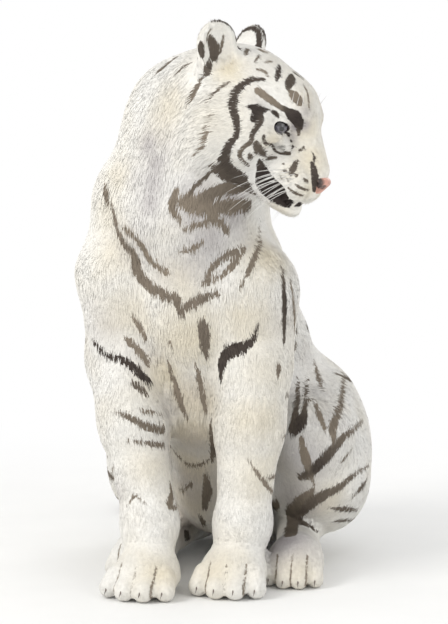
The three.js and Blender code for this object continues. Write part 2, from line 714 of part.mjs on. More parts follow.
// The origin is on the floor, below the middle of the animal's own box.
const middle = new THREE.Box3().setFromObject(tiger).getCenter(new THREE.Vector3());
for (const mesh of tiger.children) mesh.geometry.translate(-middle.x, -middle.y, 0);

export default tiger;
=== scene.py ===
import json
import math

import bmesh
import bpy
import numpy as np
from bpy.props import FloatProperty, FloatVectorProperty, IntProperty, PointerProperty
from mathutils import Matrix, Vector
from mathutils.bvhtree import BVHTree

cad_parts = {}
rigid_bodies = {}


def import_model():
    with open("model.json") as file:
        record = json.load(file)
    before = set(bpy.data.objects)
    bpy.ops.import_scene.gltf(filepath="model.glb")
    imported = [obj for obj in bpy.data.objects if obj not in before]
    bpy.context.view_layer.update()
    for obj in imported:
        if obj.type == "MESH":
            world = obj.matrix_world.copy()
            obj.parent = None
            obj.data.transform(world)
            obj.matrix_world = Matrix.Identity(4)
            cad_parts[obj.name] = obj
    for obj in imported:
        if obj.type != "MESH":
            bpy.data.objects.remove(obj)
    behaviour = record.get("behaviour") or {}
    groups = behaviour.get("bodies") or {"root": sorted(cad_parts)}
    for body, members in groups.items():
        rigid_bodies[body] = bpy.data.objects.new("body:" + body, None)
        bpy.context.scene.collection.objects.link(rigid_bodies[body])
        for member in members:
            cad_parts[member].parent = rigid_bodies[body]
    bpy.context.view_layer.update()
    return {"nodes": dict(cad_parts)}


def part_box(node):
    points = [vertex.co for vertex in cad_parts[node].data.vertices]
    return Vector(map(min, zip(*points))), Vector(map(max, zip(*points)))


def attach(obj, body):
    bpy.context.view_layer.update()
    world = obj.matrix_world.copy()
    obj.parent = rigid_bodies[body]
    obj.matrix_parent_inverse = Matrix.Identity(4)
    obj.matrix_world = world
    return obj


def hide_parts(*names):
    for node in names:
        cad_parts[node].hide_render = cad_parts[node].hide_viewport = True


bl_info = {
    "name": "White Tiger",
    "version": (1, 0, 0),
    "blender": (4, 5, 0),
    "location": "View3D > Sidebar > White Tiger",
    "description": "A sitting white tiger: skin, coat, eyes, nose, claws and whiskers, in a studio",
    "category": "Object",
}

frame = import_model()
NODES = frame["nodes"]
ROOT = "root"

EYES = ["eye_left", "eye_right"]
CLAWS = [name for name in NODES if name.startswith("claw_")]
FLESH = [name for name in NODES if name not in EYES + CLAWS + ["nose"]]
SIDES = {"left": 1, "right": -1}
BOTH = (1, -1)
UV_NAME = "OFBake"

# ---------------------------------------------------------------- sizes and colours to change

COLOUR = dict(size=3, min=0, max=1, subtype="COLOR")


class TigerSkin(bpy.types.PropertyGroup):
    """Sizes of the skin."""

    cell: FloatProperty(
        name="Cell", description="Size of a face of the skin on the body",
        default=0.0112, min=0.005, max=0.02, unit="LENGTH",
    )
    nose_pink: FloatVectorProperty(
        name="Nose", description="Colour of the nose pad", default=(0.67, 0.35, 0.27), **COLOUR,
    )
    iris: FloatVectorProperty(
        name="Iris", description="Colour of the eyes", default=(0.12, 0.115, 0.14), **COLOUR,
    )
    horn: FloatVectorProperty(
        name="Horn", description="Colour of the claws", default=(0.10, 0.08, 0.07), **COLOUR,
    )


class TigerCoat(bpy.types.PropertyGroup):
    """Colours and sizes of the coat."""

    white: FloatVectorProperty(
        name="White", description="Ground colour of the coat",
        default=(0.87, 0.855, 0.815), **COLOUR,
    )
    cream: FloatVectorProperty(
        name="Cream", description="Warm tint of the coat", default=(0.74, 0.665, 0.51), **COLOUR,
    )
    taupe: FloatVectorProperty(
        name="Taupe", description="Colour of the palest stripes",
        default=(0.27, 0.225, 0.175), **COLOUR,
    )
    sable: FloatVectorProperty(
        name="Sable", description="Colour of the darkest stripes",
        default=(0.040, 0.031, 0.028), **COLOUR,
    )
    # painted shade: the grey that the coat's shaded hollows are painted with
    painted_shade_grey: FloatVectorProperty(
        name="Violet grey", description="Colour of the shaded coat",
        default=(0.42, 0.39, 0.40), **COLOUR,
    )
    tufts: IntProperty(
        name="Tufts", description="Number of tufts on the whole coat",
        default=158000, min=1000, max=260000,
    )


class TigerStage(bpy.types.PropertyGroup):
    """The studio and its camera."""

    azimuth: FloatProperty(
        name="Azimuth", description="Direction of the camera round the animal",
        default=math.radians(15), unit="ROTATION",
    )
    elevation: FloatProperty(
        name="Elevation", description="Height of the camera as an angle",
        default=math.radians(6), unit="ROTATION",
    )
    distance: FloatProperty(
        name="Distance", description="From the camera to the animal", default=4.8, unit="LENGTH",
    )
    floor: FloatVectorProperty(
        name="Floor", description="Colour of the floor", default=(0.88, 0.88, 0.87), **COLOUR,
    )


# ---------------------------------------------------------------- shapes of flesh
# A shape gives the distance from points to its surface, negative inside, in the animal's own
# millimetres.


def unit(v):
    """A vector, or each row of an array, at length 1."""
    v = np.asarray(v, float)
    return v / np.maximum(np.linalg.norm(v, axis=-1, keepdims=True), 1e-9)


def square_distances(p, q):
    """The square of the distance from each point of p to each point of q."""
    return (p * p).sum(1)[:, None] + (q * q).sum(1) - 2 * p @ q.T


def turn_of(degrees):
    """The turn about x, then y, then z."""
    x, y, z = (Matrix.Rotation(math.radians(a), 3, axis) for a, axis in zip(degrees, "XYZ"))
    return np.array(z @ y @ x)


class Mass:
    """A round mass: an ellipsoid with these half sizes, turned by degrees about x, y and z."""

    def __init__(self, centre, half, turn=(0, 0, 0)):
        self.centre = np.array(centre, float)
        self.half = np.array(half, float)
        self.turn = turn_of(turn)
        self.reach = max(half)

    def distance(self, p):
        q = (p - self.centre) @ self.turn / self.half
        size = np.sqrt((q * q).sum(1))
        slope = np.sqrt(((q / self.half) ** 2).sum(1))
        return size * (size - 1) / np.maximum(slope, 1e-6)


class Limb:
    """A tapered length with round ends, from one point and radius to another."""

    def __init__(self, start, end, start_radius, end_radius):
        self.start = np.array(start, float)
        self.along = np.array(end, float) - self.start
        self.radii = (start_radius, end_radius)
        self.centre = self.start + self.along / 2
        self.reach = np.linalg.norm(self.along) / 2 + max(self.radii)

    def distance(self, p):
        r1, r2 = self.radii
        square = self.along @ self.along
        drop = r1 - r2
        slant = max(square - drop * drop, 1e-9)
        q = p - self.start
        y = q @ self.along
        z = y - square
        off = ((q * square - y[:, None] * self.along) ** 2).sum(1)
        k = np.sign(drop) * drop * drop * off
        far = np.sqrt(off + z * z * square) / square - r2
        near = np.sqrt(off + y * y * square) / square - r1
        side = (np.sqrt(off * slant / square) + y * drop) / square - r1
        return np.where(np.sign(z) * slant * z * z * square > k, far,
                        np.where(np.sign(y) * slant * y * y * square < k, near, side))


class Placed:
    """A shape in a local frame, which may have one scale for all three axes."""

    def __init__(self, local, shape):
        self.scale = np.linalg.norm(local[:3, 0])
        self.axes = local[:3, :3] / self.scale
        self.origin = local[:3, 3]
        self.shape = shape
        self.centre = self.origin + self.axes @ shape.centre * self.scale
        self.reach = shape.reach * self.scale

    def distance(self, p):
        return self.scale * self.shape.distance((p - self.origin) @ self.axes / self.scale)


FARTHEST = 90.0  # the distance given where no layer is near


class Flesh:
    """One body made of layers (shape, blend width, "cut" or nothing), joined in order."""

    def __init__(self, layers):
        self.layers = layers
        self.centres = np.array([layer[0].centre for layer in layers])
        self.reaches = np.array([layer[0].reach + layer[1] for layer in layers])

    def near(self, p, margin=14.0):
        """For each layer, which of the points it can touch, where they lie close to the surface."""
        close = square_distances(p, self.centres) < (self.reaches + margin) ** 2
        return [np.nonzero(close[:, i])[0] for i in range(len(self.layers))]

    def distance(self, p, near=None):
        near = near or self.near(p)
        d = np.full(len(p), FARTHEST)
        for (shape, width, *kind), here in zip(self.layers, near):
            if not len(here):
                continue
            e = shape.distance(p[here])
            before = d[here]
            if kind:
                e = -e
            soft = np.maximum(width - np.abs(before - e), 0) ** 2 / (4 * width)
            d[here] = np.maximum(before, e) + soft if kind else np.minimum(before, e) - soft
        return d

    def drawn_onto(self, p, depth=0.0, reach=6.0, rounds=3):
        """Moves the points onto the surface, or this depth below it, along its slope."""
        near = self.near(p)
        step = 0.4
        d = self.distance(p, near)
        slope = np.stack([(self.distance(p + way, near) - d) / step for way in step * np.eye(3)], 1)
        slope /= np.maximum((slope**2).sum(1), 0.2)[:, None]
        for again in range(rounds):
            if again:
                d = self.distance(p, near)
            p = p + slope * np.clip(-(d + depth), -reach, reach)[:, None]
        return p


def frame_of(origin, axes):
    """A local frame with this origin and the axes as columns."""
    local = np.eye(4)
    local[:3, :3] = axes
    local[:3, 3] = origin
    return local


def seen_from(local, p, scale=1.0):
    """Points in the measures of a local frame of this scale."""
    return (p - local[:3, 3]) @ local[:3, :3] / scale**2


# ---------------------------------------------------------------- bones, in millimetres

NECK_TOP = (50, 36, 985)
NECK_BASE = (-84, 120, 778)
WITHERS = (-18, 205, 838)
RIBS_TOP = (-33, 160, 720)
RIBS_END = (-5, 335, 440)
PELVIS = (8, 470, 262)
SEAT = (10, 515, 124)

FORE = {
    "left": dict(
        side=1, shoulder=(116, 64, 614), elbow=(118, 68, 458), wrist=(110, 12, 132),
        paw=(100, -20), heading=3,
    ),
    "right": dict(
        side=-1, shoulder=(-166, 62, 640), elbow=(-161, 64, 458), wrist=(-77, -34, 132),
        paw=(-64, -86), heading=-3,
    ),
}
HIND = {
    "left": dict(
        side=1, hip=(140, 425, 308), knee=(208, 218, 284), hock=(142, 412, 60),
        paw=(204, 98), heading=6,
    ),
    "right": dict(
        side=-1, hip=(-116, 425, 318), knee=(-162, 222, 290), hock=(-104, 412, 60),
        paw=(-128, 104), heading=-4,
    ),
}
FORE_PAW = dict(width=160, reach=118, back=-26)
HIND_PAW = dict(width=130, reach=108, back=-60)
TOE_SPACING = 0.235  # of the paw's width

HEAD_SIZE = 0.89
HEAD_CENTRE = (155, 0, 980)
HEAD_TILT, HEAD_NOD, HEAD_TURN = -2, 30, -8
EYE = (64, 56, 7)
EYE_RADIUS = 20
SIGHT = (0.66, 0.74, -0.10)
LID_OPENING = (17.5, 12.5)
EAR_BASE = (-122, 86, 50)
EAR_HEIGHT = 106
EAR_WIDTH = 48
EAR_OPENS = {1: (0.36, 0.93, 0.05), -1: (0.66, -0.72, 0.05)}
TAIL = [
    (2, 590, 130), (0, 665, 62), (-22, 748, 35), (-84, 832, 31),
    (-172, 872, 30), (-262, 858, 29), (-318, 790, 28), (-322, 712, 27),
]
TAIL_RADII = (52, 27)


def head_frame():
    nodded = turn_of((0, HEAD_NOD, 0)) @ turn_of((HEAD_TILT, 0, 0))
    return frame_of(HEAD_CENTRE, turn_of((0, 0, HEAD_TURN)) @ nodded * HEAD_SIZE)


HEAD = head_frame()


def in_head(point):
    return HEAD[:3, :3] @ np.array(point, float) + HEAD[:3, 3]


def head_coordinates(p):
    """Points of the animal in the head's own measures: forward, left and up."""
    return seen_from(HEAD, p, HEAD_SIZE)


def paw_frame(leg):
    """The frame of a paw on the floor: x is forward along the middle toes, z is up."""
    return frame_of((*leg["paw"], 0), turn_of((0, 0, leg["heading"] - 90)))


# The animal's own millimetres start a little off the scene's origin, but on the same floor. The
# left eye's place in both gives the shift between them.


def shift_of_origin():
    low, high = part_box("eye_left")
    shift = np.array((low + high) / 2) * 1000 - in_head(EYE)
    return shift * (1, 1, 0)


SHIFT = shift_of_origin()


def metres(p):
    """Points of the animal as points of the scene."""
    return (np.asarray(p) + SHIFT) / 1000


def millimetres(p):
    """Points of the scene as points of the animal."""
    return np.asarray(p) * 1000 - SHIFT


# ---------------------------------------------------------------- the flesh, region by region


def plus(a, b):
    return tuple(x + y for x, y in zip(a, b))


def between(a, b, t):
    return tuple(x + (y - x) * t for x, y in zip(a, b))


def pairs(row):
    """Each member of a row with the next one."""
    return zip(row, row[1:])


def mirrored(point, s):
    """A point of the left side, or for s = -1 its mirror image on the right."""
    return (point[0], s * point[1], point[2])


def trunk_layers():
    return [
        (Limb(RIBS_TOP, RIBS_END, 151, 173), 60),
        (Limb(RIBS_END, PELVIS, 172, 168), 60),
        (Mass(SEAT, (172, 138, 150)), 60),
        (Mass((-12, 62, 600), (132, 118, 190), (8, 0, 0)), 60),
        (Mass((-8, 150, 395), (118, 120, 130), (28, 0, 0)), 60),
        (Limb((-6, 190, 330), (-4, 246, 150), 104, 92), 60),
        (Mass(WITHERS, (118, 112, 78), (-35, 0, 0)), 70),
        (Limb((-40, 190, 700), (-28, 245, 800), 148, 110), 60),
    ]


def neck_layers():
    return [
        (Limb(NECK_BASE, NECK_TOP, 160, 135), 60),
        (Mass((-45, 68, 948), (112, 92, 141)), 50),
        (Limb((-18, 34, 760), (32, -4, 895), 122, 92), 50),
    ]


def fore_arm_layers(leg):
    out, shoulder, elbow = leg["side"], leg["shoulder"], leg["elbow"]
    triceps = between(shoulder, elbow, 0.45)
    return [
        (Limb(plus(shoulder, (-out * 30, 74, 44)), shoulder, 78, 86), 50),
        (Limb(shoulder, elbow, 92, 76), 40),
        (Mass(plus(triceps, (out * 8, 46, 12)), (66, 70, 110), (14, 0, 0)), 40),
        (Mass(plus(elbow, (out * 4, 34, -6)), (44, 46, 58)), 30),
    ]


def fore_shank_layers(leg):
    middle = between(leg["elbow"], leg["wrist"], 0.42)
    pastern = (between(leg["wrist"], leg["paw"], 0.6)[0], leg["paw"][1] + 16, 70)
    return [
        (Limb(leg["elbow"], middle, 80, 68), 30),
        (Limb(middle, leg["wrist"], 68, 54), 30),
        (Mass(plus(middle, (leg["side"] * 10, -12, 52)), (58, 56, 92), (-6, 0, 0)), 40),
        (Mass(plus(leg["wrist"], (0, -6, 0)), (55, 53, 54)), 26),
        (Limb(leg["wrist"], pastern, 52, 50), 30),
    ]


def toes_of(width, reach):
    """Places of the four toes across a paw: sideways, reach forward and radius."""
    outer, inner = (reach - 22, width * 0.136), (reach, width * 0.148)
    return [
        (across * width * TOE_SPACING, *(outer if abs(across) > 1 else inner))
        for across in (-1.5, -0.5, 0.5, 1.5)
    ]


def paw_layers(leg, width, reach, back):
    layers = [
        (Limb((back, 0, 40), (38, 0, 38), 44, 46), 30),
        (Mass((18, 0, 34), (72, width * 0.43, 42)), 26),
        (Mass((14, 0, 50), (58, width * 0.38, 40), (0, 24, 0)), 24),
    ]
    for across, forward, radius in toes_of(width, reach):
        knuckle = (reach * 0.42, across * 0.92, 43)
        tip = (forward - radius, across * 1.06, radius - 1)
        pad = (forward - radius * 1.5, across, radius + 9)
        layers.append((Limb(knuckle, tip, radius * 1.05, radius), 8))
        layers.append((Mass(pad, (17, radius * 0.82, 13)), 8))
    local = paw_frame(leg)
    return [(Placed(local, shape), width) for shape, width in layers]


def hind_leg_layers(leg):
    out, hip, knee, hock = leg["side"], leg["hip"], leg["knee"], leg["hock"]
    thigh = between(hip, knee, 0.42)
    return [
        (Limb(hip, knee, 130, 86), 55),
        (Mass(plus(thigh, (out * 24, 6, -72)), (122, 165, 158), (10, 0, 0)), 50),
        (Limb(knee, hock, 82, 50), 40),
        (Mass(plus(knee, (out * 12, 92, -128)), (74, 120, 66), (-8, 0, 0)), 50),
        (Mass(plus(hip, (out * 76, -34, -168)), (66, 120, 84)), 50),
        (Limb(hock, (leg["paw"][0], leg["paw"][1], 46), 50, 44), 26),
    ]


def both(shape, width, *kind):
    """A layer for each side of the head; shape(s) is the shape on the left (1) or right (-1)."""
    return [(Placed(HEAD, shape(s)), width, *kind) for s in BOTH]


def one(shape, width, *kind):
    """A layer on the middle of the head."""
    return [(Placed(HEAD, shape), width, *kind)]


def head_layers():
    """The skull and the flesh of the head."""
    return [
        *one(Mass((-46, 0, 30), (122, 106, 96)), 40),  # braincase
        *one(Mass((46, 0, 48), (70, 72, 64)), 34),  # forehead
        *both(lambda s: Mass((88, s * 36, 44), (30, 30, 26)), 22),  # brow
        *one(Limb((88, 0, 24), (172, 0, -46), 42, 33), 26),  # bridge of the nose
        *both(lambda s: Mass((-8, s * 76, -16), (82, 50, 54)), 34),  # cheekbone
        *both(lambda s: Mass((-22, s * 84, -66), (82, 52, 84)), 34),  # chewing muscle
        *both(lambda s: Mass((-54, s * 106, -80), (56, 52, 92), (0, -10, 0)), 30),  # ruff
        *both(lambda s: Mass((148, s * 36, -88), (54, 40, 44), (0, 20, 0)), 18),  # whisker pad
        *one(Mass((182, 0, -66), (26, 31, 26)), 14),  # tip of the muzzle
        *one(Mass((178, 0, -102), (26, 34, 26)), 16),  # front of the upper lip
        *one(Mass((96, 0, -88), (78, 62, 58), (0, 14, 0)), 26),  # upper jaw
        *both(lambda s: Limb((124, s * 17, -140), (0, s * 62, -112), 29, 46), 18),  # lower jaw
        *one(Mass((146, 0, -144), (46, 37, 29), (0, 8, 0)), 14),  # chin
        *one(Mass((10, 0, -128), (80, 66, 50)), 30),  # floor of the mouth and throat
    ]


def face_layers():
    """The folds of the face: sockets, lids, lips and the seat of the nose."""
    ball = (EYE_RADIUS + 5,) * 3
    return [
        *both(lambda s: Mass((88, s * 74, 6), (26, 22, 17), (0, 0, s * 44)), 14, "cut"),  # socket
        *both(lambda s: Limb((96, s * 32, 44), (62, s * 74, 42), 15, 11), 9),  # edge of the brow
        *both(lambda s: Mass(mirrored(EYE, s), ball), 7),  # lids
        *both(lambda s: Limb((56, s * 78, -16), (100, s * 52, -26), 11, 9), 14),  # below the lids
        *both(lambda s: parted_lips(s)[0], 8, "cut"),
        *both(lambda s: parted_lips(s)[1], 8, "cut"),
        *both(lambda s: Limb((188, s * 14, -110), (152, s * 58, -94), 8, 9), 8),  # upper lip
        *both(lambda s: Limb((152, s * 58, -94), (96, s * 72, -90), 9, 7), 8),
        *both(lambda s: Limb((170, s * 10, -144), (134, s * 46, -142), 8, 8), 7),  # lower lip
        *both(lambda s: Limb((134, s * 46, -142), (92, s * 66, -122), 8, 7), 7),
        *one(Limb((216, 0, -84), (206, 0, -116), 2.5, 3), 4, "cut"),  # groove below the nose
        *both(lid_opening, 1.5, "cut"),
    ]


def lid_opening(s):
    """The slit between the lids of one eye."""
    return Placed(gaze_frame(s), Mass((22, 0, 0), (26, *LID_OPENING), (14 * s, 0, 0)))


def parted_lips(s):
    """The hollow between the lips on one side, from its front to the corner of the mouth."""
    front, middle, corner = (180, s * 22, -132), (140, s * 58, -118), (92, s * 72, -104)
    return [Limb(front, middle, 8, 13), Limb(middle, corner, 13, 8)]


def gaze_frame(s):
    """The frame of an eye: x is the line of sight, z is up."""
    sight = unit(mirrored(SIGHT, s))
    left = unit(np.cross((0, 0, 1), sight))
    return frame_of(mirrored(EYE, s), np.array([sight, left, np.cross(sight, left)]).T)


def ear_frame(s):
    """The ear's own frame: x across the ear, y out of its open side, z up the ear."""
    up = unit((-0.4, s * 0.34, 0.85))
    opening = np.array(EAR_OPENS[s])
    opening = unit(opening - up * (opening @ up))
    return HEAD @ frame_of(mirrored(EAR_BASE, s), np.array([np.cross(opening, up), opening, up]).T)


def ear_layers(s):
    local = ear_frame(s)
    half = EAR_HEIGHT / 2
    return [
        (Placed(local, Mass((0, 0, half - 2), (EAR_WIDTH, 21, half + 4))), 26),
        (Placed(local, Mass((0, 0, 4), (EAR_WIDTH * 0.9, 34, 30))), 26),
        (Placed(local, Mass((0, 25, half + 2), (EAR_WIDTH * 0.78, 25, half * 0.88))), 6, "cut"),
        (Placed(local, Mass((0, 14, 22), (27, 12, 30))), 18, "cut"),
    ]


def curve_through(knots, steps):
    """Points on a smooth curve through the knots, with this many to each length between them."""
    ends = np.vstack([2 * knots[0] - knots[1], knots, 2 * knots[-1] - knots[-2]])
    fine = []
    for a, b, c, d in zip(ends, ends[1:], ends[2:], ends[3:]):
        square, cube = 2 * a - 5 * b + 4 * c - d, 3 * b - a - 3 * c + d
        for t in np.linspace(0, 1, steps, endpoint=False):
            fine.append(0.5 * (2 * b + (c - a) * t + square * t**2 + cube * t**3))
    return np.array(fine + [knots[-1]])


def tail_points(count):
    """Points spaced along the tail's curve."""
    fine = curve_through(np.array(TAIL, float), 12)
    run = np.concatenate([[0], np.cumsum(np.linalg.norm(np.diff(fine, axis=0), axis=1))])
    at = np.linspace(0, run[-1], count)
    return np.stack([np.interp(at, run, fine[:, i]) for i in range(3)], 1)


def tail_layers():
    steps = 18
    points = tail_points(steps + 1)
    base, tip = TAIL_RADII
    radii = [base + (tip - base) * min(1, (i / steps) ** 0.6) for i in range(steps + 1)]
    return [(Limb(*ends, *ends_radii), 24) for ends, ends_radii in zip(pairs(points), pairs(radii))]


def flesh_layers():
    fore, hind = FORE.values(), HIND.values()
    return [
        *trunk_layers(),
        *[layer for leg in fore for layer in fore_arm_layers(leg)],
        *[layer for leg in hind for layer in hind_leg_layers(leg)],
        *neck_layers(),
        *head_layers(),
        *ear_layers(1),
        *ear_layers(-1),
        *face_layers(),
        *[layer for leg in fore for layer in fore_shank_layers(leg)],
        *tail_layers(),
        *[layer for leg in fore for layer in paw_layers(leg, **FORE_PAW)],
        *[layer for leg in hind for layer in paw_layers(leg, **HIND_PAW)],
    ]


# ---------------------------------------------------------------- the lie of the coat
# Places on the animal, each with its reach, the way its hair lies, the hair's length and how far
# the hair stands out. The coat passes smoothly from one to the next.


def head_place(point, reach, lie, length, stand):
    """A place on both sides of the head, in the head's own measures, or one on its middle."""
    turn, reach = HEAD[:3, :3], reach * HEAD_SIZE
    return [
        (in_head(mirrored(point, s)), reach, turn @ mirrored(lie, s), length, stand)
        for s in (BOTH if point[1] else (1,))
    ]


def coat_places():
    places = [
        *head_place((196, 0, -40), 26, (-1, 0, 0.5), 5, 0.05),  # tip of the muzzle
        *head_place((140, 0, 0), 34, (-1, 0, 0.6), 6, 0.08),  # bridge of the nose
        *head_place((100, 0, 60), 34, (-1, 0, 0.9), 9, 0.12),  # brow
        *head_place((40, 0, 112), 50, (-1, 0, 0.1), 8, 0.09),  # forehead
        *head_place((-60, 0, 130), 60, (-1, 0, -0.3), 11, 0.06),  # crown
        *head_place((160, 60, -84), 34, (-0.8, 0.5, -0.3), 6, 0.10),  # whisker pad
        *head_place((110, 70, -20), 34, (-0.9, 0.4, -0.3), 7, 0.08),  # below the eye
        *head_place((84, 80, 22), 26, (-0.9, 0.3, 0.2), 6, 0.08),  # round the eye
        *head_place((30, 96, 40), 46, (-1, 0.1, 0.2), 8, 0.10),  # temple
        *head_place((20, 110, -40), 54, (-0.9, 0.2, -0.5), 8, 0.10),  # cheek
        *head_place((-70, 140, -60), 50, (-0.75, 0.2, -0.7), 20, 0.10),  # ruff
        *head_place((-40, 120, -150), 50, (-0.6, 0.1, -0.9), 24, 0.13),  # end of the ruff
        *head_place((60, 70, -140), 40, (-0.8, 0.3, -0.6), 9, 0.10),  # jaw
        *head_place((150, 0, -170), 34, (-0.7, 0, -0.7), 8, 0.12),  # chin
        *head_place((30, 0, -180), 50, (-0.7, 0, -0.7), 18, 0.10),  # throat
        *head_place((-140, 92, 90), 46, (-0.4, 0.3, 0.9), 6, 0.05),  # ear
    ]
    body = [
        ((-20, 150, 1030), 110, (-0.1, 0.5, -0.8), 19, 0.06),  # nape
        ((-150, 60, 900), 120, (-0.3, 0.1, -1), 20, 0.06),  # right of the neck
        ((90, 130, 860), 110, (0.3, 0.3, -1), 19, 0.06),  # left of the neck
        ((0, -90, 760), 130, (0, -0.2, -1), 21, 0.07),  # front of the neck
        ((-10, -70, 600), 120, (0, 0.05, -1), 22, 0.07),  # breast
        ((-10, 60, 380), 100, (0, 0.5, -1), 23, 0.09),  # brisket
        ((-260, 70, 660), 120, (-0.1, 0.15, -1), 16, 0.05),  # shoulders
        ((200, 70, 650), 110, (0.1, 0.15, -1), 16, 0.05),
        ((-20, 330, 800), 160, (0, 0.5, -0.9), 17, 0.05),  # back
        ((-10, 500, 560), 160, (0, 0.4, -0.95), 16, 0.05),  # loin
        ((0, 640, 300), 150, (0, 0.3, -0.95), 17, 0.05),  # croup
        ((-180, 300, 520), 130, (-0.1, 0.3, -0.95), 17, 0.05),  # flanks
        ((180, 300, 520), 130, (0.1, 0.3, -0.95), 17, 0.05),
        ((0, 250, 230), 110, (0, 0.6, -0.8), 23, 0.11),  # belly
        ((270, 380, 290), 130, (0.1, 0.4, -0.9), 14, 0.05),  # thighs
        ((-250, 380, 290), 130, (-0.1, 0.4, -0.9), 14, 0.05),
        ((250, 180, 240), 90, (0.1, -0.3, -0.95), 13, 0.05),  # knees
        ((-210, 180, 240), 90, (-0.1, -0.3, -0.95), 13, 0.05),
    ]
    for leg in FORE.values():
        (x, y, z), wrist, (px, py) = leg["elbow"], leg["wrist"], leg["paw"]
        body += [
            ((x, y + 70, z - 10), 70, (0, 0.3, -1), 20, 0.10),  # back of the elbow
            (between(leg["elbow"], wrist, 0.5), 90, (0, -0.05, -1), 11, 0.06),  # fore arm
            (wrist, 60, (0, -0.1, -1), 10, 0.09),
            ((px, py - 30, 60), 50, (0, -0.9, -0.5), 7, 0.09),  # paw
            ((px, py - 100, 25), 50, (0, -0.5, -0.9), 5, 0.09),  # toes
        ]
    for leg in HIND.values():
        px, py = leg["paw"]
        body += [
            ((px, py + 120, 60), 80, (0, -0.8, -0.5), 11, 0.06),  # hock and foot
            ((px, py - 20, 60), 50, (0, -0.9, -0.5), 7, 0.09),
            ((px, py - 90, 25), 50, (0, -0.5, -0.9), 5, 0.09),
        ]
    return places + body + [(a, 60, b - a, 15, 0.08) for a, b in pairs(tail_points(13))]


class Coat:
    """The lie, length and stand of the coat all over the animal."""

    def __init__(self, places):
        self.centres = np.array([place[0] for place in places], float)
        self.reaches = np.array([place[1] for place in places], float)
        self.ways = unit([place[2] for place in places])
        self.values = np.array([place[3:] for place in places], float)

    def shares(self, p):
        share = 1 / (1 + (square_distances(p, self.centres) / self.reaches**2) ** 2)
        return share / share.sum(1)[:, None]

    def depth(self, p):
        """How deep the skin lies under the tips of the coat, in millimetres."""
        length, stand = (self.shares(p) @ self.values).T
        return 0.75 * length * stand + 0.05 * length + 0.6

    def at(self, p):
        """Lie (unit vectors), length and stand at points."""
        share = self.shares(p)
        return unit(share @ self.ways), *(share @ self.values).T


# ---------------------------------------------------------------- from shapes to a skin

SHELL_GROWN = 0.0009  # enough to close the cuts between the CAD's parts
SKIN_ABOVE_FLOOR = 0.6


def read(items, name, width=1, kind=np.float32):
    """A number, or a row of numbers of this width, from each item of a mesh."""
    flat = np.empty(len(items) * width, kind)
    items.foreach_get(name, flat)
    return flat.reshape(-1, width) if width > 1 else flat


def coordinates(mesh):
    return read(mesh.vertices, "co", 3).astype(float)


def set_coordinates(mesh, p):
    mesh.vertices.foreach_set("co", np.asarray(p, np.float32).ravel())
    mesh.update()


def edges_of(mesh):
    return read(mesh.edges, "vertices", 2, np.int32)


def mesh_of(bm, name):
    """A mesh of a bmesh, which is freed."""
    mesh = bpy.data.meshes.new(name)
    bm.to_mesh(mesh)
    bm.free()
    return mesh


def relaxed(p, edges, amount=0.5):
    """Each point moved towards the middle of its neighbours."""
    total = np.zeros_like(p)
    count = np.zeros(len(p))
    for a, b in (edges.T, edges.T[::-1]):
        count += np.bincount(a, minlength=len(p))
        for i in range(3):
            total[:, i] += np.bincount(a, weights=p[b, i], minlength=len(p))
    return p + amount * (total / np.maximum(count, 1)[:, None] - p)


def one_shell(names, grown):
    """The CAD's parts with these names as one mesh of overlapping shells, each grown a little."""
    joined = bmesh.new()
    for name in names:
        part = bmesh.new()
        part.from_mesh(NODES[name].data)
        bmesh.ops.remove_doubles(part, verts=part.verts, dist=1e-5)
        part.normal_update()
        for v in part.verts:
            v.co += v.normal * grown
        mesh = mesh_of(part, "part")
        joined.from_mesh(mesh)
        bpy.data.meshes.remove(mesh)
    return mesh_of(joined, "shell")


def remeshed(mesh, cell):
    """The outside of a mesh in faces of this size."""
    shell = bpy.data.objects.new("shell", mesh)
    bpy.context.scene.collection.objects.link(shell)
    remesh = shell.modifiers.new("Remesh", "REMESH")
    remesh.mode = "VOXEL"
    remesh.voxel_size = cell
    graph = bpy.context.evaluated_depsgraph_get()
    made = bpy.data.meshes.new_from_object(shell.evaluated_get(graph))
    bpy.data.objects.remove(shell)
    bpy.data.meshes.remove(mesh)
    return made


def largest_island(mesh):
    """A bmesh of the largest connected part of a mesh."""
    bm = bmesh.new()
    bm.from_mesh(mesh)
    bpy.data.meshes.remove(mesh)
    bm.verts.ensure_lookup_table()
    island = [-1] * len(bm.verts)
    sizes = []
    for start in bm.verts:
        if island[start.index] >= 0:
            continue
        here, found = [start], 0
        island[start.index] = len(sizes)
        while here:
            v = here.pop()
            found += 1
            for edge in v.link_edges:
                other = edge.other_vert(v)
                if island[other.index] < 0:
                    island[other.index] = len(sizes)
                    here.append(other)
        sizes.append(found)
    keep = sizes.index(max(sizes))
    loose = [v for v in bm.verts if island[v.index] != keep]
    bmesh.ops.delete(bm, geom=loose, context="VERTS")
    return bm


def places_of(bm):
    return millimetres(np.array([v.co for v in bm.verts]))


def refined(bm, fine):
    """Halves the faces of a bmesh where fine(points) says so."""
    bm.verts.ensure_lookup_table()
    wanted = fine(places_of(bm))
    edges = [e for e in bm.edges if wanted[e.verts[0].index] and wanted[e.verts[1].index]]
    bmesh.ops.subdivide_edges(bm, edges=edges, cuts=1, use_grid_fill=True)
    bm.verts.index_update()


def near_head(p):
    """On the skull, the ears and the toes."""
    x, y, z = head_coordinates(p).T
    skull = (x > -90) & (np.abs(y) < 150) & (z > -190) & (z < 200)
    ears = (z > 50) & (x > -230) & (x <= -60) & (np.abs(y) > 30)
    toes = np.zeros(len(p), bool)
    for leg in [*FORE.values(), *HIND.values()]:
        x, y, z = seen_from(paw_frame(leg), p).T
        toes |= (x > 20) & (x < 150) & (np.abs(y) < 90) & (z < 90)
    return skull | toes | ears


def near_face(p):
    """On the front of the head and the ears."""
    x, y, z = head_coordinates(p).T
    face = (x > 40) & (z < 62) & (z > -176) & (np.abs(y) < 100)
    ears = (z > 70) & (x < -60) & (x > -230) & (np.abs(y) > 50)
    return face | ears


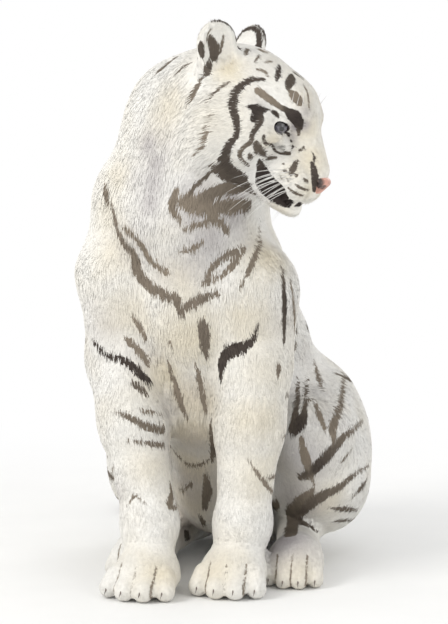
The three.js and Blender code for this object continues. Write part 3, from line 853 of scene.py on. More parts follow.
def round_eyes(p, reach):
    """Within this reach of the front of an eye."""
    left = plus(EYE, (10, 8, 0))
    middles = np.array([mirrored(left, s) for s in BOTH])
    return (square_distances(head_coordinates(p), middles) < reach**2).any(1)


def near_eyes_and_lips(p):
    x, y, z = head_coordinates(p).T
    return round_eyes(p, 40) | (x > 84) & (z > -150) & (z < -96)


def near_eyes(p):
    return round_eyes(p, 27)


def make_skin(cell):
    """The skin: the CAD's flesh closed over its cuts, finer on the head and paws, and modelled."""
    flesh = Flesh(flesh_layers())
    coat = Coat(coat_places())
    bm = largest_island(remeshed(one_shell(FLESH, SHELL_GROWN), cell))
    refined(bm, near_head)
    for finer in (near_face, near_eyes_and_lips, near_eyes):
        p = places_of(bm)
        p = flesh.drawn_onto(p, coat.depth(p), rounds=2)
        for v, place in zip(bm.verts, metres(p)):
            v.co = place
        refined(bm, finer)
    mesh = mesh_of(bm, "skin")
    edges = edges_of(mesh)
    p = millimetres(coordinates(mesh))
    for amount in (0.5, 0.5, 0.4, 0.3):
        p = relaxed(p, edges, amount)
        p = flesh.drawn_onto(p, coat.depth(p), reach=4.0, rounds=2)
    p[:, 2] = np.maximum(p[:, 2], SKIN_ABOVE_FLOOR)
    set_coordinates(mesh, metres(p))
    mesh.shade_smooth()
    return mesh


# ---------------------------------------------------------------- the markings
# A stroke is (tone, half width, points). Its points are drawn on a view, which is an elevation of
# the animal, and are laid on the skin along the line of sight. The width and the tone may be one
# number or one for each point. A tone of 0 is the palest taupe, 1 is black. Strokes of the face,
# the crown and the ear are made on both sides.


class View:
    """An elevation: where a point of the drawing starts, and the way it goes to meet the skin."""

    def __init__(self, across, up, towards, origin=(0, 0, 0), far=900.0):
        self.across, self.up, self.towards = (np.array(v, float) for v in (across, up, towards))
        self.origin = np.array(origin, float)
        self.far = far

    def at(self, point):
        return self.origin + self.across * point[0] + self.up * point[1]

    def start(self, point):
        return self.at(point) - unit(self.towards) * self.far


def level_view(degrees):
    """A level view of the whole animal; at 0 it is seen from the front, at 90 from its left."""
    c, s = math.cos(math.radians(degrees)), math.sin(math.radians(degrees))
    return View((c, s, 0), (0, 0, 1), (-s, c, 0))


def views():
    degrees = {"front": 15, "left": 90, "right": 270, "behind": 180}
    found = {name: level_view(turn) for name, turn in degrees.items()}
    for s in BOTH:
        (x, y, z), middle = HEAD[:3, :3].T, HEAD[:3, 3]
        (ear_x, ear_y, ear_z, ear_base) = ear_frame(s)[:3].T
        found["face", s] = View(x, z, -s * y, middle, far=300)
        found["crown", s] = View(x, s * y, -z, middle, far=300)
        found["ear", s] = View(s * ear_x, ear_z, -ear_y, ear_base, far=90)
    return found


def sides_of(name):
    """The views that a drawing is laid on: those of the head serve both of its sides."""
    return [(name, s) for s in BOTH] if name in ("face", "crown", "ear") else [name]


FACE_STROKES = [
    (0.8, (3, 6, 9, 9, 7, 6, 8, 13, 14, 9), [
        (-11, 81), (-34, 65), (-44, 31), (-26, -2), (-2, -24), (12, -51), (8, -77), (12, -118),
        (30, -133), (58, -135)]),
    ((0.9, 0.8, 0.7, 0.5, 0.4, 0.5, 0.6), (8, 7, 5.5, 5, 4.5, 4.5, 3), [
        (18, 24), (38, 4), (40, -32), (44, -49), (33, -80), (41, -95), (56, -104)]),
    (0.97, (1.5, 8, 9, 2), [(-2, 16), (12, 20), (22, 22), (38, 30)]),  # the star behind the eye
    (0.97, (9, 9), [(20, 16), (26, 2)]),
    ((0.0, 0.05, 0.3, 0.8, 0.9), (7, 8, 6, 7, 7), [
        (-8, 54), (18, 51), (48, 47), (68, 48), (86, 46)]),
    # over the inner corner of the eye
    ((0.9, 0.97, 0.97, 0.9), (7, 14, 13, 8), [(72, 46), (88, 42), (99, 35), (106, 24)]),
    ((0.6, 0.4), (6, 3), [(104, 24), (110, 8)]),
    (0.9, (4.5, 5.5, 3), [(46, 30), (53, 29), (60, 25)]),
    (0.98, (3, 4.5, 2.4), [(84, 0), (88, -3), (90, -6)]),  # inner corner of the eye
    (0.98, 2.4, [(98, -14), (99, -15)]),
    (0.98, 3.8, [(108, -23), (109, -24)]),
    (0.75, (3.5, 4, 3, 3.2, 6), [(60, -24), (66, -37), (78, -48), (94, -49), (109, -40)]),
    (0.6, (6, 10, 6), [(54, -46), (60, -57), (65, -68)]),
    (0.6, (3, 6, 3), [(51, -76), (54, -82), (56, -88)]),
    (0.55, (3, 4, 3), [(76, -73), (84, -67), (94, -61)]),
    (0.6, (3, 7, 4), [(137, -42), (143, -56), (147, -70)]),
    (0.6, (2, 3, 2), [(126, -22), (131, -18), (133, -10)]),
    (0.5, 2.6, [(118, -62), (119, -62)]),
    (0.5, (2.5, 3), [(129, -71), (134, -72)]),
    (0.5, (2, 3.5), [(152, -66), (160, -67)]),
    (0.55, (3, 4), [(176, -66), (184, -68)]),
    (0.5, (2, 3, 2), [(168, -84), (182, -87), (194, -84)]),
    (0.5, (2, 3, 2), [(160, -100), (176, -103), (192, -102)]),
    (0.4, (1.8, 2.2), [(130, -88), (136, -90)]),
    (0.4, (1.8, 2.2), [(146, -84), (151, -86)]),
    (0.05, (5, 11, 9), [(50, 84), (64, 81), (78, 75)]),
    (0.05, (2.5, 3.5, 2.5), [(-38, 90), (-24, 94), (-10, 90)]),
    (0.75, (4, 8, 5), [(-165, 84), (-158, 71), (-150, 58)]),  # at the edge of the ear
    (0.65, (4, 9, 5), [(-136, 50), (-126, 37), (-127, 22)]),  # below the ear
    (0.45, (2, 4, 2), [(-186, 20), (-196, 0), (-200, -18)]),
    # along the mouth: the black lips, widened by painted shade for the dark of the parted mouth
    (1.0, (9, 18, 23, 21, 15, 6), [
        (78, -98), (93, -111), (114, -125), (138, -131), (160, -134), (182, -130)]),
    (0.85, (3, 8, 9), [(66, -84), (72, -92), (80, -100)]),
    (0.85, (3, 7, 9, 8), [(166, -32), (180, -44), (192, -60), (200, -80)]),  # beside the nose
    (0.85, (2, 3, 2), [(158, -12), (165, -20), (170, -30)]),
    (0.4, (2, 4, 3), [(-70, 40), (-82, 10), (-84, -20)]),
    (0.1, (1.5, 3, 3), [(-60, -40), (-50, -80), (-36, -112)]),
]
CROWN_STROKES = [
    (0.85, (3, 5.5, 6, 3), [(-14, 32), (-6, 44), (4, 58), (10, 68)]),
    (0.75, (4, 9, 10, 5), [(22, 26), (30, 40), (35, 52), (40, 62)]),
    (0.2, (2, 2.5, 2.5, 2), [(58, 26), (74, 30), (90, 36), (102, 44)]),
    (0.3, (3, 5, 4), [(-100, 30), (-93, 46), (-86, 62)]),
    (0.4, (2, 3.5, 2), [(-62, 46), (-58, 58), (-54, 70)]),
    (0.1, (2, 3, 2), [(-38, 56), (-34, 46), (-30, 36)]),
    (0.0, (5, 8, 5), [(-78, 12), (-70, 16), (-62, 14)]),
    (0.6, (2, 4, 2), [(10, 8), (24, 10), (40, 6)]),
]
EAR_STROKES = [
    (0.65, (9, 12, 10, 4), [(-8, 20), (-4, 38), (-10, 56), (-16, 74)]),
    (0.8, (2, 4.5, 5.5, 5, 3), [(-10, 108), (8, 111), (27, 101), (41, 82), (45, 56)]),
    (0.3, (2, 3, 2), [(8, 30), (14, 50), (16, 70)]),
    (0.2, (1.5, 2.5, 1.5), [(-24, 64), (-22, 80), (-14, 92)]),
    (0.3, (2, 3), [(-30, 34), (-34, 52)]),
]
FRONT_STROKES = [
    (0.35, (3, 8, 3), [(-72, 1056), (-46, 1078), (-22, 1096)]),
    (0.3, (2, 7, 3), [(-8, 990), (8, 1022), (22, 1048)]),
    (0.0, (1.5, 2.5, 1.5), [(6, 894), (24, 918), (38, 948)]),
    (0.2, (4, 9, 4), [(-178, 832), (-174, 810), (-168, 788)]),
    (0.25, (4, 7, 11, 13, 12, 12, 11, 6), [  # the left arm of the V on the breast
        (-162, 793), (-142, 722), (-114, 691), (-106, 653), (-78, 621), (-48, 608), (-30, 604),
        (-15, 568)]),
    (0.03, (4, 8, 9, 6), [(-136, 745), (-100, 714), (-80, 680), (-44, 652)]),
    (0.25, (8, 11, 8, 4), [(-14, 582), (11, 597), (44, 610), (62, 614)]),
    (0.15, (3, 7, 8, 3), [(27, 633), (46, 668), (76, 690), (112, 705)]),
    (0.15, (3, 6, 7, 3), [(27, 630), (62, 648), (92, 676), (114, 703)]),
    (0.1, (6, 10, 5), [(-26, 824), (-36, 796), (-22, 762)]),
    ((0.6, 0.55, 0.5, 0.4), (3, 4, 5, 3), [(64, 880), (31, 854), (5, 826), (-12, 797)]),
    ((0.2, 0.25, 0.4, 0.6), (8, 14, 16, 15), [(-8, 790), (40, 816), (78, 828), (112, 826)]),
    (0.08, (4, 9, 6), [(-15, 747), (50, 763), (78, 738)]),
    (0.03, (3, 7, 3), [(-20, 699), (4, 708), (28, 720)]),
    (0.15, (2, 5, 6, 3), [(146, 751), (144, 710), (127, 676), (100, 620)]),
    ((0.5, 0.8, 0.7), (3, 7, 4), [(188, 662), (193, 587), (193, 505)]),
    (0.9, (3, 6, 9, 9), [(-204, 505), (-176, 478), (-130, 463), (-85, 422)]),
    (0.12, (5, 8, 7), [(-136, 514), (-108, 486), (-86, 458)]),
    (0.5, (6, 8, 3), [(-118, 421), (-102, 410), (-86, 394)]),
    (0.3, (2, 6, 9, 8), [(-155, 364), (-130, 357), (-91, 335), (-56, 323)]),
    (0.15, (3, 5, 3), [(-101, 367), (-80, 362), (-58, 354)]),
    (0.35, (2, 5, 6), [(-130, 306), (-91, 301), (-56, 291)]),
    (0.2, (2, 4, 2), [(-129, 175), (-113, 194), (-90, 181)]),
    (0.1, (3, 7, 3), [(-160, 246), (-162, 235), (-158, 222)]),
    (0.9, (2, 7, 14, 13, 10, 3), [
        (139, 550), (128, 517), (102, 499), (78, 489), (65, 460), (63, 424)]),
    (0.35, (8, 12, 10, 4), [(24, 556), (28, 540), (31, 505), (33, 478)]),
    (0.15, (3, 5, 3), [(-46, 514), (-41, 509), (-38, 500)]),
    (0.2, (3, 7, 3), [(180, 468), (182, 453), (180, 436)]),
    (0.1, (2, 5, 6), [(119, 271), (144, 236), (170, 197)]),
    (0.3, (3, 6, 3), [(228, 480), (225, 470), (220, 460)]),
    (0.55, (3, 8, 8), [(233, 402), (222, 342), (212, 309)]),
    (0.55, (3, 6, 8), [(254, 402), (243, 360), (236, 330)]),
    (0.85, (8, 17, 10), [(240, 342), (228, 326), (218, 308)]),
    (0.25, (3, 7, 3), [(272, 428), (278, 404), (282, 380)]),
    (0.15, (3, 7, 9, 10, 5), [(338, 396), (326, 364), (308, 334), (300, 312), (302, 286)]),
    ((0.2, 0.3, 0.6, 0.85, 0.5), (3, 8, 12, 14, 10), [
        (374, 306), (330, 297), (300, 270), (264, 230), (236, 206)]),
    (0.3, (2, 5, 2), [(346, 268), (330, 250), (314, 232)]),
    ((0.3, 0.4, 0.45, 0.5, 0.6, 0.7), (3, 6, 9, 12, 15, 14), [
        (388, 206), (352, 200), (318, 180), (280, 163), (244, 134), (214, 100)]),
    (0.5, (3, 8, 3), [(384, 180), (372, 168), (348, 150)]),
    (0.5, (3, 7, 4), [(296, 134), (328, 126), (362, 112)]),
    (0.5, (3, 6, 3), [(306, 96), (330, 92), (352, 82)]),
    (0.7, (4, 8, 6, 3), [(216, 108), (240, 98), (262, 84), (276, 70)]),
    (0.6, (4, 12, 4), [(-14, 60), (-9, 49), (-4, 38)]),
    (0.3, (2, 8, 3), [(20, 110), (27, 96), (30, 84)]),
    ((0.5, 0.7, 0.7), (6, 16, 12), [(44, 878), (74, 856), (110, 840)]),
    ((0.7, 0.75, 0.7), (6, 9, 5), [(106, 838), (118, 830), (130, 818)]),
    ((0.0, 0.1, 0.15, 0.35), (6, 13, 17, 12), [(16, 800), (50, 792), (88, 790), (122, 788)]),
    (0.0, (10, 20, 18, 8), [(-20, 806), (4, 798), (30, 790), (52, 776)]),
    # the brown on the front of the near haunch, by the foreleg: partly its stripes, partly painted
    # shade
    (0.0, (4, 10, 9, 3), [(232, 300), (240, 262), (252, 222), (262, 190)]),
    ((0.1, 0.15, 0.2, 0.4), (5, 13, 18, 15), [(262, 180), (240, 152), (225, 124), (210, 97)]),
    ((0.1, 0.2, 0.5), (6, 13, 8), [(188, 140), (184, 118), (181, 98)]),
    # the belly
    ((0.1, 0.2, 0.35, 0.3), (4, 8, 7, 3), [(42, 336), (47, 298), (49, 264), (46, 240)]),
    (0.1, (2, 4, 4, 4, 2), [(-44, 268), (-24, 241), (0, 226), (26, 232), (44, 246)]),
    (0.1, (3, 9, 7, 3), [(-42, 214), (-38, 190), (-42, 172), (-14, 160)]),
    ((0.0, 0.2, 0.3), (4, 11, 6), [(32, 210), (36, 166), (30, 130)]),
    (0.05, (3, 7, 8, 4), [(-46, 470), (-34, 424), (-20, 376), (-6, 340)]),
    (0.1, (3, 6, 6, 3), [(12, 462), (20, 424), (28, 384), (34, 352)]),
    (0.0, (3, 7, 4), [(262, 372), (272, 340), (284, 312)]),
    (0.05, (2, 5, 5, 2), [(205, 640), (212, 590), (216, 540), (214, 500)]),
    (0.02, (3, 8, 5), [(-122, 560), (-104, 540), (-92, 512)]),
]
LEFT_STROKES = [
    (0.6, (3, 9, 10, 4), [(330, 760), (280, 690), (230, 620), (210, 560)]),
    (0.5, (3, 7, 7, 3), [(380, 690), (330, 620), (290, 560), (270, 500)]),
    (0.4, (3, 6, 3), [(180, 700), (150, 640), (140, 590)]),
    (0.4, (3, 7, 3), [(120, 420), (80, 400), (40, 395)]),
    (0.3, (2, 6, 2), [(110, 330), (70, 315), (20, 312)]),
    (0.25, (2, 5, 2), [(80, 240), (40, 230), (0, 232)]),
    (0.5, (4, 11, 9, 4), [(560, 420), (500, 390), (430, 380), (370, 400)]),
    (0.55, (4, 10, 10, 5), [(610, 330), (540, 300), (460, 292), (400, 300)]),
    (0.5, (4, 9, 10, 5), [(600, 240), (530, 212), (450, 205), (380, 215)]),
    (0.5, (3, 8, 8, 4), [(560, 150), (500, 132), (430, 130), (370, 142)]),
    (0.5, (3, 6, 4), [(480, 70), (420, 72), (350, 84)]),
    (0.55, (3, 7, 7, 3), [(176, 960), (148, 915), (118, 878), (100, 840)]),
    (0.5, (3, 6, 6, 3), [(222, 880), (190, 840), (160, 806), (132, 790)]),
]
RIGHT_STROKES = [
    (0.6, (3, 9, 10, 4), [(-330, 770), (-280, 700), (-230, 640), (-205, 580)]),
    (0.5, (3, 7, 8, 3), [(-385, 690), (-330, 630), (-290, 570), (-265, 500)]),
    (0.5, (3, 8, 8, 3), [(-440, 590), (-380, 540), (-330, 480), (-300, 420)]),
    (0.35, (2, 6, 7, 3), [(-230, 900), (-180, 850), (-130, 800), (-90, 730)]),
    (0.4, (2, 7, 6, 2), [(-150, 560), (-110, 520), (-70, 500), (-20, 500)]),
    (0.35, (2, 6, 2), [(-130, 420), (-80, 405), (-30, 400)]),
    (0.3, (2, 6, 2), [(-100, 330), (-60, 318), (0, 320)]),
    (0.25, (2, 5, 2), [(-60, 240), (-20, 228), (20, 234)]),
    (0.5, (4, 11, 9, 4), [(-560, 430), (-500, 392), (-430, 385), (-370, 410)]),
    (0.55, (4, 11, 10, 5), [(-610, 330), (-540, 296), (-460, 290), (-380, 312)]),
    (0.5, (4, 9, 10, 5), [(-600, 240), (-530, 208), (-450, 200), (-370, 218)]),
    (0.6, (4, 10, 8), [(-340, 300), (-290, 250), (-240, 215)]),
    (0.5, (3, 8, 8, 3), [(-335, 396), (-290, 352), (-240, 334), (-196, 342)]),
    (0.5, (3, 8, 8, 3), [(-330, 216), (-280, 186), (-226, 172), (-180, 180)]),
    (0.45, (3, 7, 3), [(-300, 130), (-268, 118), (-236, 111)]),
    (0.5, (3, 8, 8, 4), [(-560, 150), (-500, 130), (-430, 128), (-370, 142)]),
    (0.5, (3, 6, 4), [(-480, 70), (-420, 72), (-350, 84)]),
]
# bars from the spine outwards on both sides
BEHIND_STROKES = [
    (0.5, (2, 7, 8, 3), [(60, 1010), (80, 960), (100, 905), (96, 860)]),
    (0.5, (2, 7, 8, 3), [(-6, 1000), (-10, 950), (-40, 900), (-60, 860)]),
    (0.65, (3, 9, 9, 4), [(6, 860), (-50, 820), (-92, 788), (-112, 770)]),
    (0.65, (3, 9, 9, 4), [(20, 850), (56, 824), (84, 806), (100, 796)]),
    (0.7, (4, 10, 10, 5), [(4, 740), (-50, 706), (-110, 672), (-160, 620)]),
    (0.7, (4, 10, 10, 5), [(24, 726), (80, 694), (130, 655), (172, 600)]),
    (0.7, (5, 11, 10, 5), [(0, 620), (-60, 588), (-120, 550), (-170, 500)]),
    (0.7, (5, 11, 10, 5), [(10, 606), (70, 578), (128, 540), (180, 490)]),
    (0.7, (5, 11, 11, 5), [(-4, 500), (-64, 474), (-130, 440), (-200, 405)]),
    (0.7, (5, 11, 11, 5), [(4, 486), (66, 462), (132, 430), (200, 400)]),
    (0.65, (5, 10, 10, 5), [(-6, 392), (-66, 364), (-140, 338), (-220, 320)]),
    (0.65, (5, 10, 10, 5), [(2, 380), (64, 356), (140, 330), (220, 316)]),
    (0.6, (4, 9, 9, 4), [(-10, 296), (-70, 268), (-150, 246), (-230, 236)]),
    (0.6, (4, 9, 9, 4), [(0, 288), (66, 262), (150, 240), (232, 232)]),
    (0.6, (3, 8, 8, 3), [(-40, 196), (-100, 176), (-170, 160), (-230, 152)]),
    (0.6, (3, 8, 8, 3), [(30, 196), (96, 176), (168, 158), (236, 150)]),
]
STROKES = {
    "face": FACE_STROKES, "crown": CROWN_STROKES, "ear": EAR_STROKES, "front": FRONT_STROKES,
    "left": LEFT_STROKES, "right": RIGHT_STROKES, "behind": BEHIND_STROKES,
}
# Soft spots of colour, by view: (reach, strength, point). First the painted shade: the shade of the
# coat's hollows painted into its colour.
PAINTED_SHADE_SPOTS = {
    "front": [
        (30, 0.7, (-81, 922)), (30, 0.7, (-69, 886)), (30, 0.7, (-75, 848)), (30, 0.7, (-82, 808)),
        (60, 0.75, (20, 800)), (60, 0.85, (90, 800)), (55, 0.3, (-60, 910)), (50, 0.35, (-90, 850)),
        (45, 0.3, (-80, 780)), (55, 0.4, (-110, 715)), (50, 0.3, (-60, 665)), (60, 0.65, (40, 735)),
        (60, 0.45, (20, 690)), (50, 0.35, (100, 740)), (70, 0.5, (0, 180)), (60, 0.4, (10, 290)),
        (60, 0.7, (0, 80)), (55, 0.35, (10, 400)), (45, 0.35, (-50, 370)), (45, 0.3, (-50, 300)),
        (70, 0.55, (236, 250)), (60, 0.6, (226, 160)), (60, 0.9, (200, 90)), (60, 0.35, (236, 380)),
        (40, 0.35, (290, 330)), (50, 0.3, (200, 560)), (45, 0.3, (-100, 480)),
        (60, 0.25, (250, 440)), (60, 0.3, (-190, 540)), (40, 0.3, (-150, 200)),
    ],
    "behind": [(130, 0.2, (0, 130))],
    "face": [
        (20, 0.5, (102, 62)), (16, 0.8, (114, 34)), (15, 0.95, (98, 20)), (13, 0.6, (100, -2)),
        (26, 0.3, (20, 30)),
    ],
}
# Then the warm tinge.
WARMTHS = {
    "front": [
        (80, 0.8, (0, 520)), (70, 0.7, (-50, 440)), (70, 0.6, (120, 560)), (60, 0.7, (150, 360)),
        (60, 0.6, (140, 240)), (60, 0.5, (150, 460)), (70, 0.4, (-120, 560)), (50, 0.5, (-90, 260)),
        (55, 0.7, (-60, 60)), (55, 0.6, (60, 60)), (60, 0.6, (220, 40)), (55, 0.7, (150, 690)),
        (60, 0.4, (40, 980)), (50, 0.5, (-30, 1000)), (55, 0.6, (290, 150)), (60, 0.5, (-10, 640)),
        (55, 0.5, (-170, 780)), (50, 0.45, (-190, 860)), (55, 0.4, (-160, 700)),
        *[(60, 1.0, (0, height)) for height in (390, 310, 230, 150, 80)],
    ],
    "face": [
        (40, 0.75, (165, -25)), (36, 0.6, (120, 20)), (34, 0.45, (84, 84)), (34, 0.95, (-88, 62)),
        (26, 0.6, (78, -28)), (30, 0.5, (150, -60)), (30, 0.6, (196, -80)), (26, 0.5, (150, -165)),
    ],
}


class SkinField:
    """Finds where a point of a drawing meets the skin."""

    def __init__(self, mesh):
        bm = bmesh.new()
        bm.from_mesh(mesh)
        self.tree = BVHTree.FromBMesh(bm)
        bm.free()
        self.views = views()

    def nearest(self, p):
        return millimetres(np.array(self.tree.find_nearest(Vector(metres(p)))[0]))

    def met(self, name, point):
        """Where the line of sight through this point of a view meets the skin."""
        view = self.views[name]
        way = Vector(view.towards).normalized()
        place = self.tree.ray_cast(Vector(metres(view.start(point))), way)[0]
        return self.nearest(view.at(point)) if place is None else millimetres(np.array(place))

    def along(self, path, step=12.0):
        """A path with points added where they are far apart, all of them on the skin."""
        rows = []
        for a, b in pairs(path):
            count = int(np.linalg.norm(b[:3] - a[:3]) / step) + 1
            for t in np.arange(count) / count:
                row = a + (b - a) * t
                if t:
                    row[:3] = self.nearest(row[:3])
                rows.append(row)
        return np.array([*rows, path[-1]])


def spread(value, count):
    """One value for each point."""
    return np.full(count, value, float)


def stroke_paths(field):
    """All strokes as paths on the skin: rows of place, half width and tone."""
    paths = []
    for view, strokes in STROKES.items():
        for tone, width, points in strokes:
            count = len(points)
            rows = np.column_stack([points, spread(width, count), spread(tone, count)])
            rows = curve_through(rows, 4) if count > 2 else rows
            for name in sides_of(view):
                places = [field.met(name, row[:2]) for row in rows]
                paths.append(field.along(np.hstack([places, rows[:, 2:]])))
    return paths


UNMARKED = 25.0  # the distance written where no mark is near


def marked(p, paths):
    """The signed distance from each point to the nearest mark, and the tone there."""
    mark = np.full(len(p), UNMARKED)
    total = np.full(len(p), 1e-6)
    tone = np.zeros(len(p))
    square = (p * p).sum(1)
    for path in paths:
        middle = path[:, :3].mean(0)
        reach = np.linalg.norm(path[:, :3] - middle, axis=1).max() + path[:, 3].max() + 22
        close = np.nonzero(square - 2 * p @ middle + middle @ middle < reach**2)[0]
        q = p[close]
        for a, b in pairs(path):
            way = b[:3] - a[:3]
            t = np.clip((q - a[:3]) @ way / max(way @ way, 1e-6), 0, 1)
            gap = np.linalg.norm(q - a[:3] - t[:, None] * way, axis=1)
            d = gap - (a[3] + (b[3] - a[3]) * t)
            mark[close] = np.minimum(mark[close], d)
            share = np.exp(-np.clip(d, -12, 22) / 3.0)
            tone[close] += share * (a[4] + (b[4] - a[4]) * t)
            total[close] += share
    return mark, np.clip(tone / total, 0, 1)


def tail_rings(p):
    """The signed distance to the dark rings and the dark tip of the tail."""
    points = tail_points(80)
    square = square_distances(p, points)
    nearest = square.argmin(1)
    step = np.linalg.norm(points[1] - points[0])
    ways = np.gradient(points, axis=0)[nearest] / step
    along = nearest * step + ((p - points[nearest]) * ways).sum(1)
    run = step * (len(points) - 1)
    ring = np.abs((along - 30) % 74 - 37) - 12
    rings = np.where(along < 70, UNMARKED, np.minimum(ring, run - 55 - along))
    return rings + np.maximum(np.sqrt(square.min(1)) - 75, 0)


def soft_spots(p, field, drawn):
    """The strength of soft spots of colour, drawn by view, at points."""
    total = np.zeros(len(p))
    for view, spots in drawn.items():
        for name in sides_of(view):
            for reach, strength, point in spots:
                square = ((p - field.met(name, point)) ** 2).sum(1)
                total = np.maximum(total, strength * np.exp(-square / reach**2))
    return total


def eye_rims(p):
    """The signed distance to the dark rims of the eyes."""
    best = np.full(len(p), UNMARKED)
    for s in BOTH:
        x, y, z = seen_from(HEAD @ gaze_frame(s), p, HEAD_SIZE).T
        across = np.sqrt((y / LID_OPENING[0]) ** 2 + (z / LID_OPENING[1]) ** 2)
        # The rim is broader above the eye: partly the black lid, partly painted shade under the
        # upper lid.
        breadth = 1.6 + 1.4 * np.clip((z - 0.4 * s * y) / 8, -0.6, 1)
        rim = (across - 1) * LID_OPENING[1] - breadth
        best = np.minimum(best, np.where((x > -6) & (x < 40), rim, UNMARKED))
    return best


def ear_backs(p):
    """The signed distance to the black backs of the ears, outside their white spots."""
    best = np.full(len(p), UNMARKED)
    for s in BOTH:
        x, y, z = seen_from(ear_frame(s), p, HEAD_SIZE).T
        spot = 32 - np.hypot(x, (z - 50) * 0.85)
        back = np.maximum(y + 7, 20 - z)
        near = (z > 0) & (z < 125) & (np.abs(x) < 60) & (np.abs(y) < 40)
        best = np.minimum(best, np.where(near, np.maximum(back, spot), UNMARKED))
    return best


def painted_toe_shade(p):
    """The signed distance to the painted shade in the lines between the toes."""
    best = np.full(len(p), UNMARKED)
    for legs, paw in ((FORE, FORE_PAW), (HIND, HIND_PAW)):
        for leg in legs.values():
            x, y, z = seen_from(paw_frame(leg), p).T
            near = (np.abs(y) < paw["width"] * 0.6) & (z < 70) & (x > 30) & (x < 140)
            along = np.maximum(paw["reach"] * 0.5 - x, 0)
            for i in (-1, 0, 1):
                across = y - i * paw["width"] * TOE_SPACING * (1 + 0.001 * (x - 60))
                best = np.minimum(best, np.where(near, np.hypot(across, along) - 1.9, UNMARKED))
    return best


def mouth_inside(p):
    """The signed distance to the hollow between the lips, painted black: the black lips, and
    painted shade for the dark inside of the parted mouth.
    """
    hollows = [Placed(HEAD, shape) for s in BOTH for shape in parted_lips(s)]
    return np.min([shape.distance(p) for shape in hollows], axis=0) - 2.0


def all_marks(p, paths):
    """The signed distance to the nearest mark of any kind and the tone of the marks there."""
    mark, tone = marked(p, paths)
    kinds = (
        (tail_rings, 0.7), (eye_rims, 1.0), (mouth_inside, 1.0), (ear_backs, 0.85), (painted_toe_shade, 0.1),
    )
    for kind, its_tone in kinds:
        distance = kind(p)
        tone = np.where(distance < np.minimum(mark, 4), its_tone, tone)
        mark = np.minimum(mark, distance)
    return mark, tone


def write_attribute(mesh, name, values):
    made = mesh.attributes.get(name) or mesh.attributes.new(name, "FLOAT", "POINT")
    made.data.foreach_set("value", np.asarray(values, np.float32))


def write_markings(mesh):
    """Writes the marks, their tone, the painted shade and the warmth of the coat on the skin's
    points.
    """
    field = SkinField(mesh)
    p = millimetres(coordinates(mesh))
    mark, tone = all_marks(p, stroke_paths(field))
    write_attribute(mesh, "mark", mark)
    write_attribute(mesh, "tone", tone)
    write_attribute(mesh, "painted_shade", soft_spots(p, field, PAINTED_SHADE_SPOTS))
    write_attribute(mesh, "warm", soft_spots(p, field, WARMTHS))
    write_attribute(mesh, "hair", np.full(len(p), 0.35))


# ---------------------------------------------------------------- the coat

COAT_SEED = 11
WHISKER_SEED = 5


class Skin:
    """The finished skin as arrays, to grow hair on."""

    def __init__(self, mesh):
        mesh.calc_loop_triangles()
        self.corners = read(mesh.loop_triangles, "vertices", 3, np.int32)
        self.points = millimetres(coordinates(mesh))
        self.normals = read(mesh.vertices, "normal", 3).astype(float)
        loops = read(mesh.loop_triangles, "loops", 3, np.int32)
        self.uvs = read(mesh.uv_layers[UV_NAME].uv, "vector", 2)[loops]
        self.soft = {name: read(mesh.attributes[name].data, "value") for name in ("painted_shade", "warm")}
        a, b, c = (self.points[self.corners[:, i]] for i in range(3))
        self.areas = np.linalg.norm(np.cross(b - a, c - a), axis=1) / 2
        self.middles = (a + b + c) / 3


COAT_PIECES = [
    "face", "head", "neck", "back", "breast", "foreleg_left", "foreleg_right",
    "haunch_left", "haunch_right", "rump", "paws", "tail",
]
SHORT_HAIRED = ["face", "paws"]


def part_of_body(p):
    """Which piece of coat a root belongs to: the last one that claims it, or else the back."""
    x, y, z = p.T
    ahead, across, height = head_coordinates(p).T
    across = np.abs(across)
    claims = [
        ("neck", (z > 700) & (y > 60)),
        ("breast", (y <= 60) & (z > 330)),
        ("breast", (z <= 430) & (y <= 300) & (np.abs(x) < 130)),
    ]
    for side, leg in FORE.items():
        out = x * leg["side"]
        inner = leg["elbow"][0] * leg["side"] - 84
        claims.append(("foreleg_" + side, (z < 590) & (y < 150) & (out > inner)))
    claims += [
        ("haunch_left", (z < 430) & (y > 150) & (x > 40)),
        ("haunch_right", (z < 430) & (y > 150) & (x < -60)),
        ("rump", (z < 430) & (y > 340) & (x <= 180) & (x >= -150)),
        ("paws", (z < 150) & (y < 60)),
        ("paws", (z < 90) & (y < 200)),
        ("tail", (y > 640) & (z < 150)),
        ("head", (ahead > -110) & (height > -190) & (across < 190)),
        ("head", (height > 60) & (across > 50) & (ahead > -230)),
        ("face", (ahead > 0) & (height > -190) & (height < 130) & (across < 130)),
    ]
    part = np.full(len(p), COAT_PIECES.index("back"))
    for name, here in claims:
        part[here] = COAT_PIECES.index(name)
    return part


def bare(p):
    """Where no hair grows: the rims of the eyes, the lips, the seat of the nose and the soles."""
    x, y, z = head_coordinates(p).T
    nose = (x > 196) & (z > -96) & (z < -44) & (np.abs(y) < 30)
    return (eye_rims(p) < 2.5) | nose | (mouth_inside(p) < 11.0) | (p[:, 2] < 3.5)


def tuft_width(length):
    """How broad a tuft of this length is at its root."""
    return 0.75 + 0.07 * length


def tuft_roots(skin, count, coat, rng):
    """Roots of the tufts: triangles of the skin and weights of their corners; few in short hair."""
    length = coat.at(skin.middles)[1]
    crowd = skin.areas / (length * tuft_width(length)) * np.clip((length - 3) / 15, 0.08, 1)
    crowd[bare(skin.middles)] = 0
    chosen = rng.choice(len(crowd), count, p=crowd / crowd.sum())
    a, b = rng.random((2, count))
    a, b = np.where(a + b > 1, 1 - a, a), np.where(a + b > 1, 1 - b, b)
    return chosen, np.stack([1 - a - b, a, b], 1)


def blend_at(values, corners, weights):
    """The values at points of the skin, from those at the corners of their triangles."""
    picked = values[corners]
    return (picked * (weights[:, :, None] if picked.ndim == 3 else weights)).sum(1)


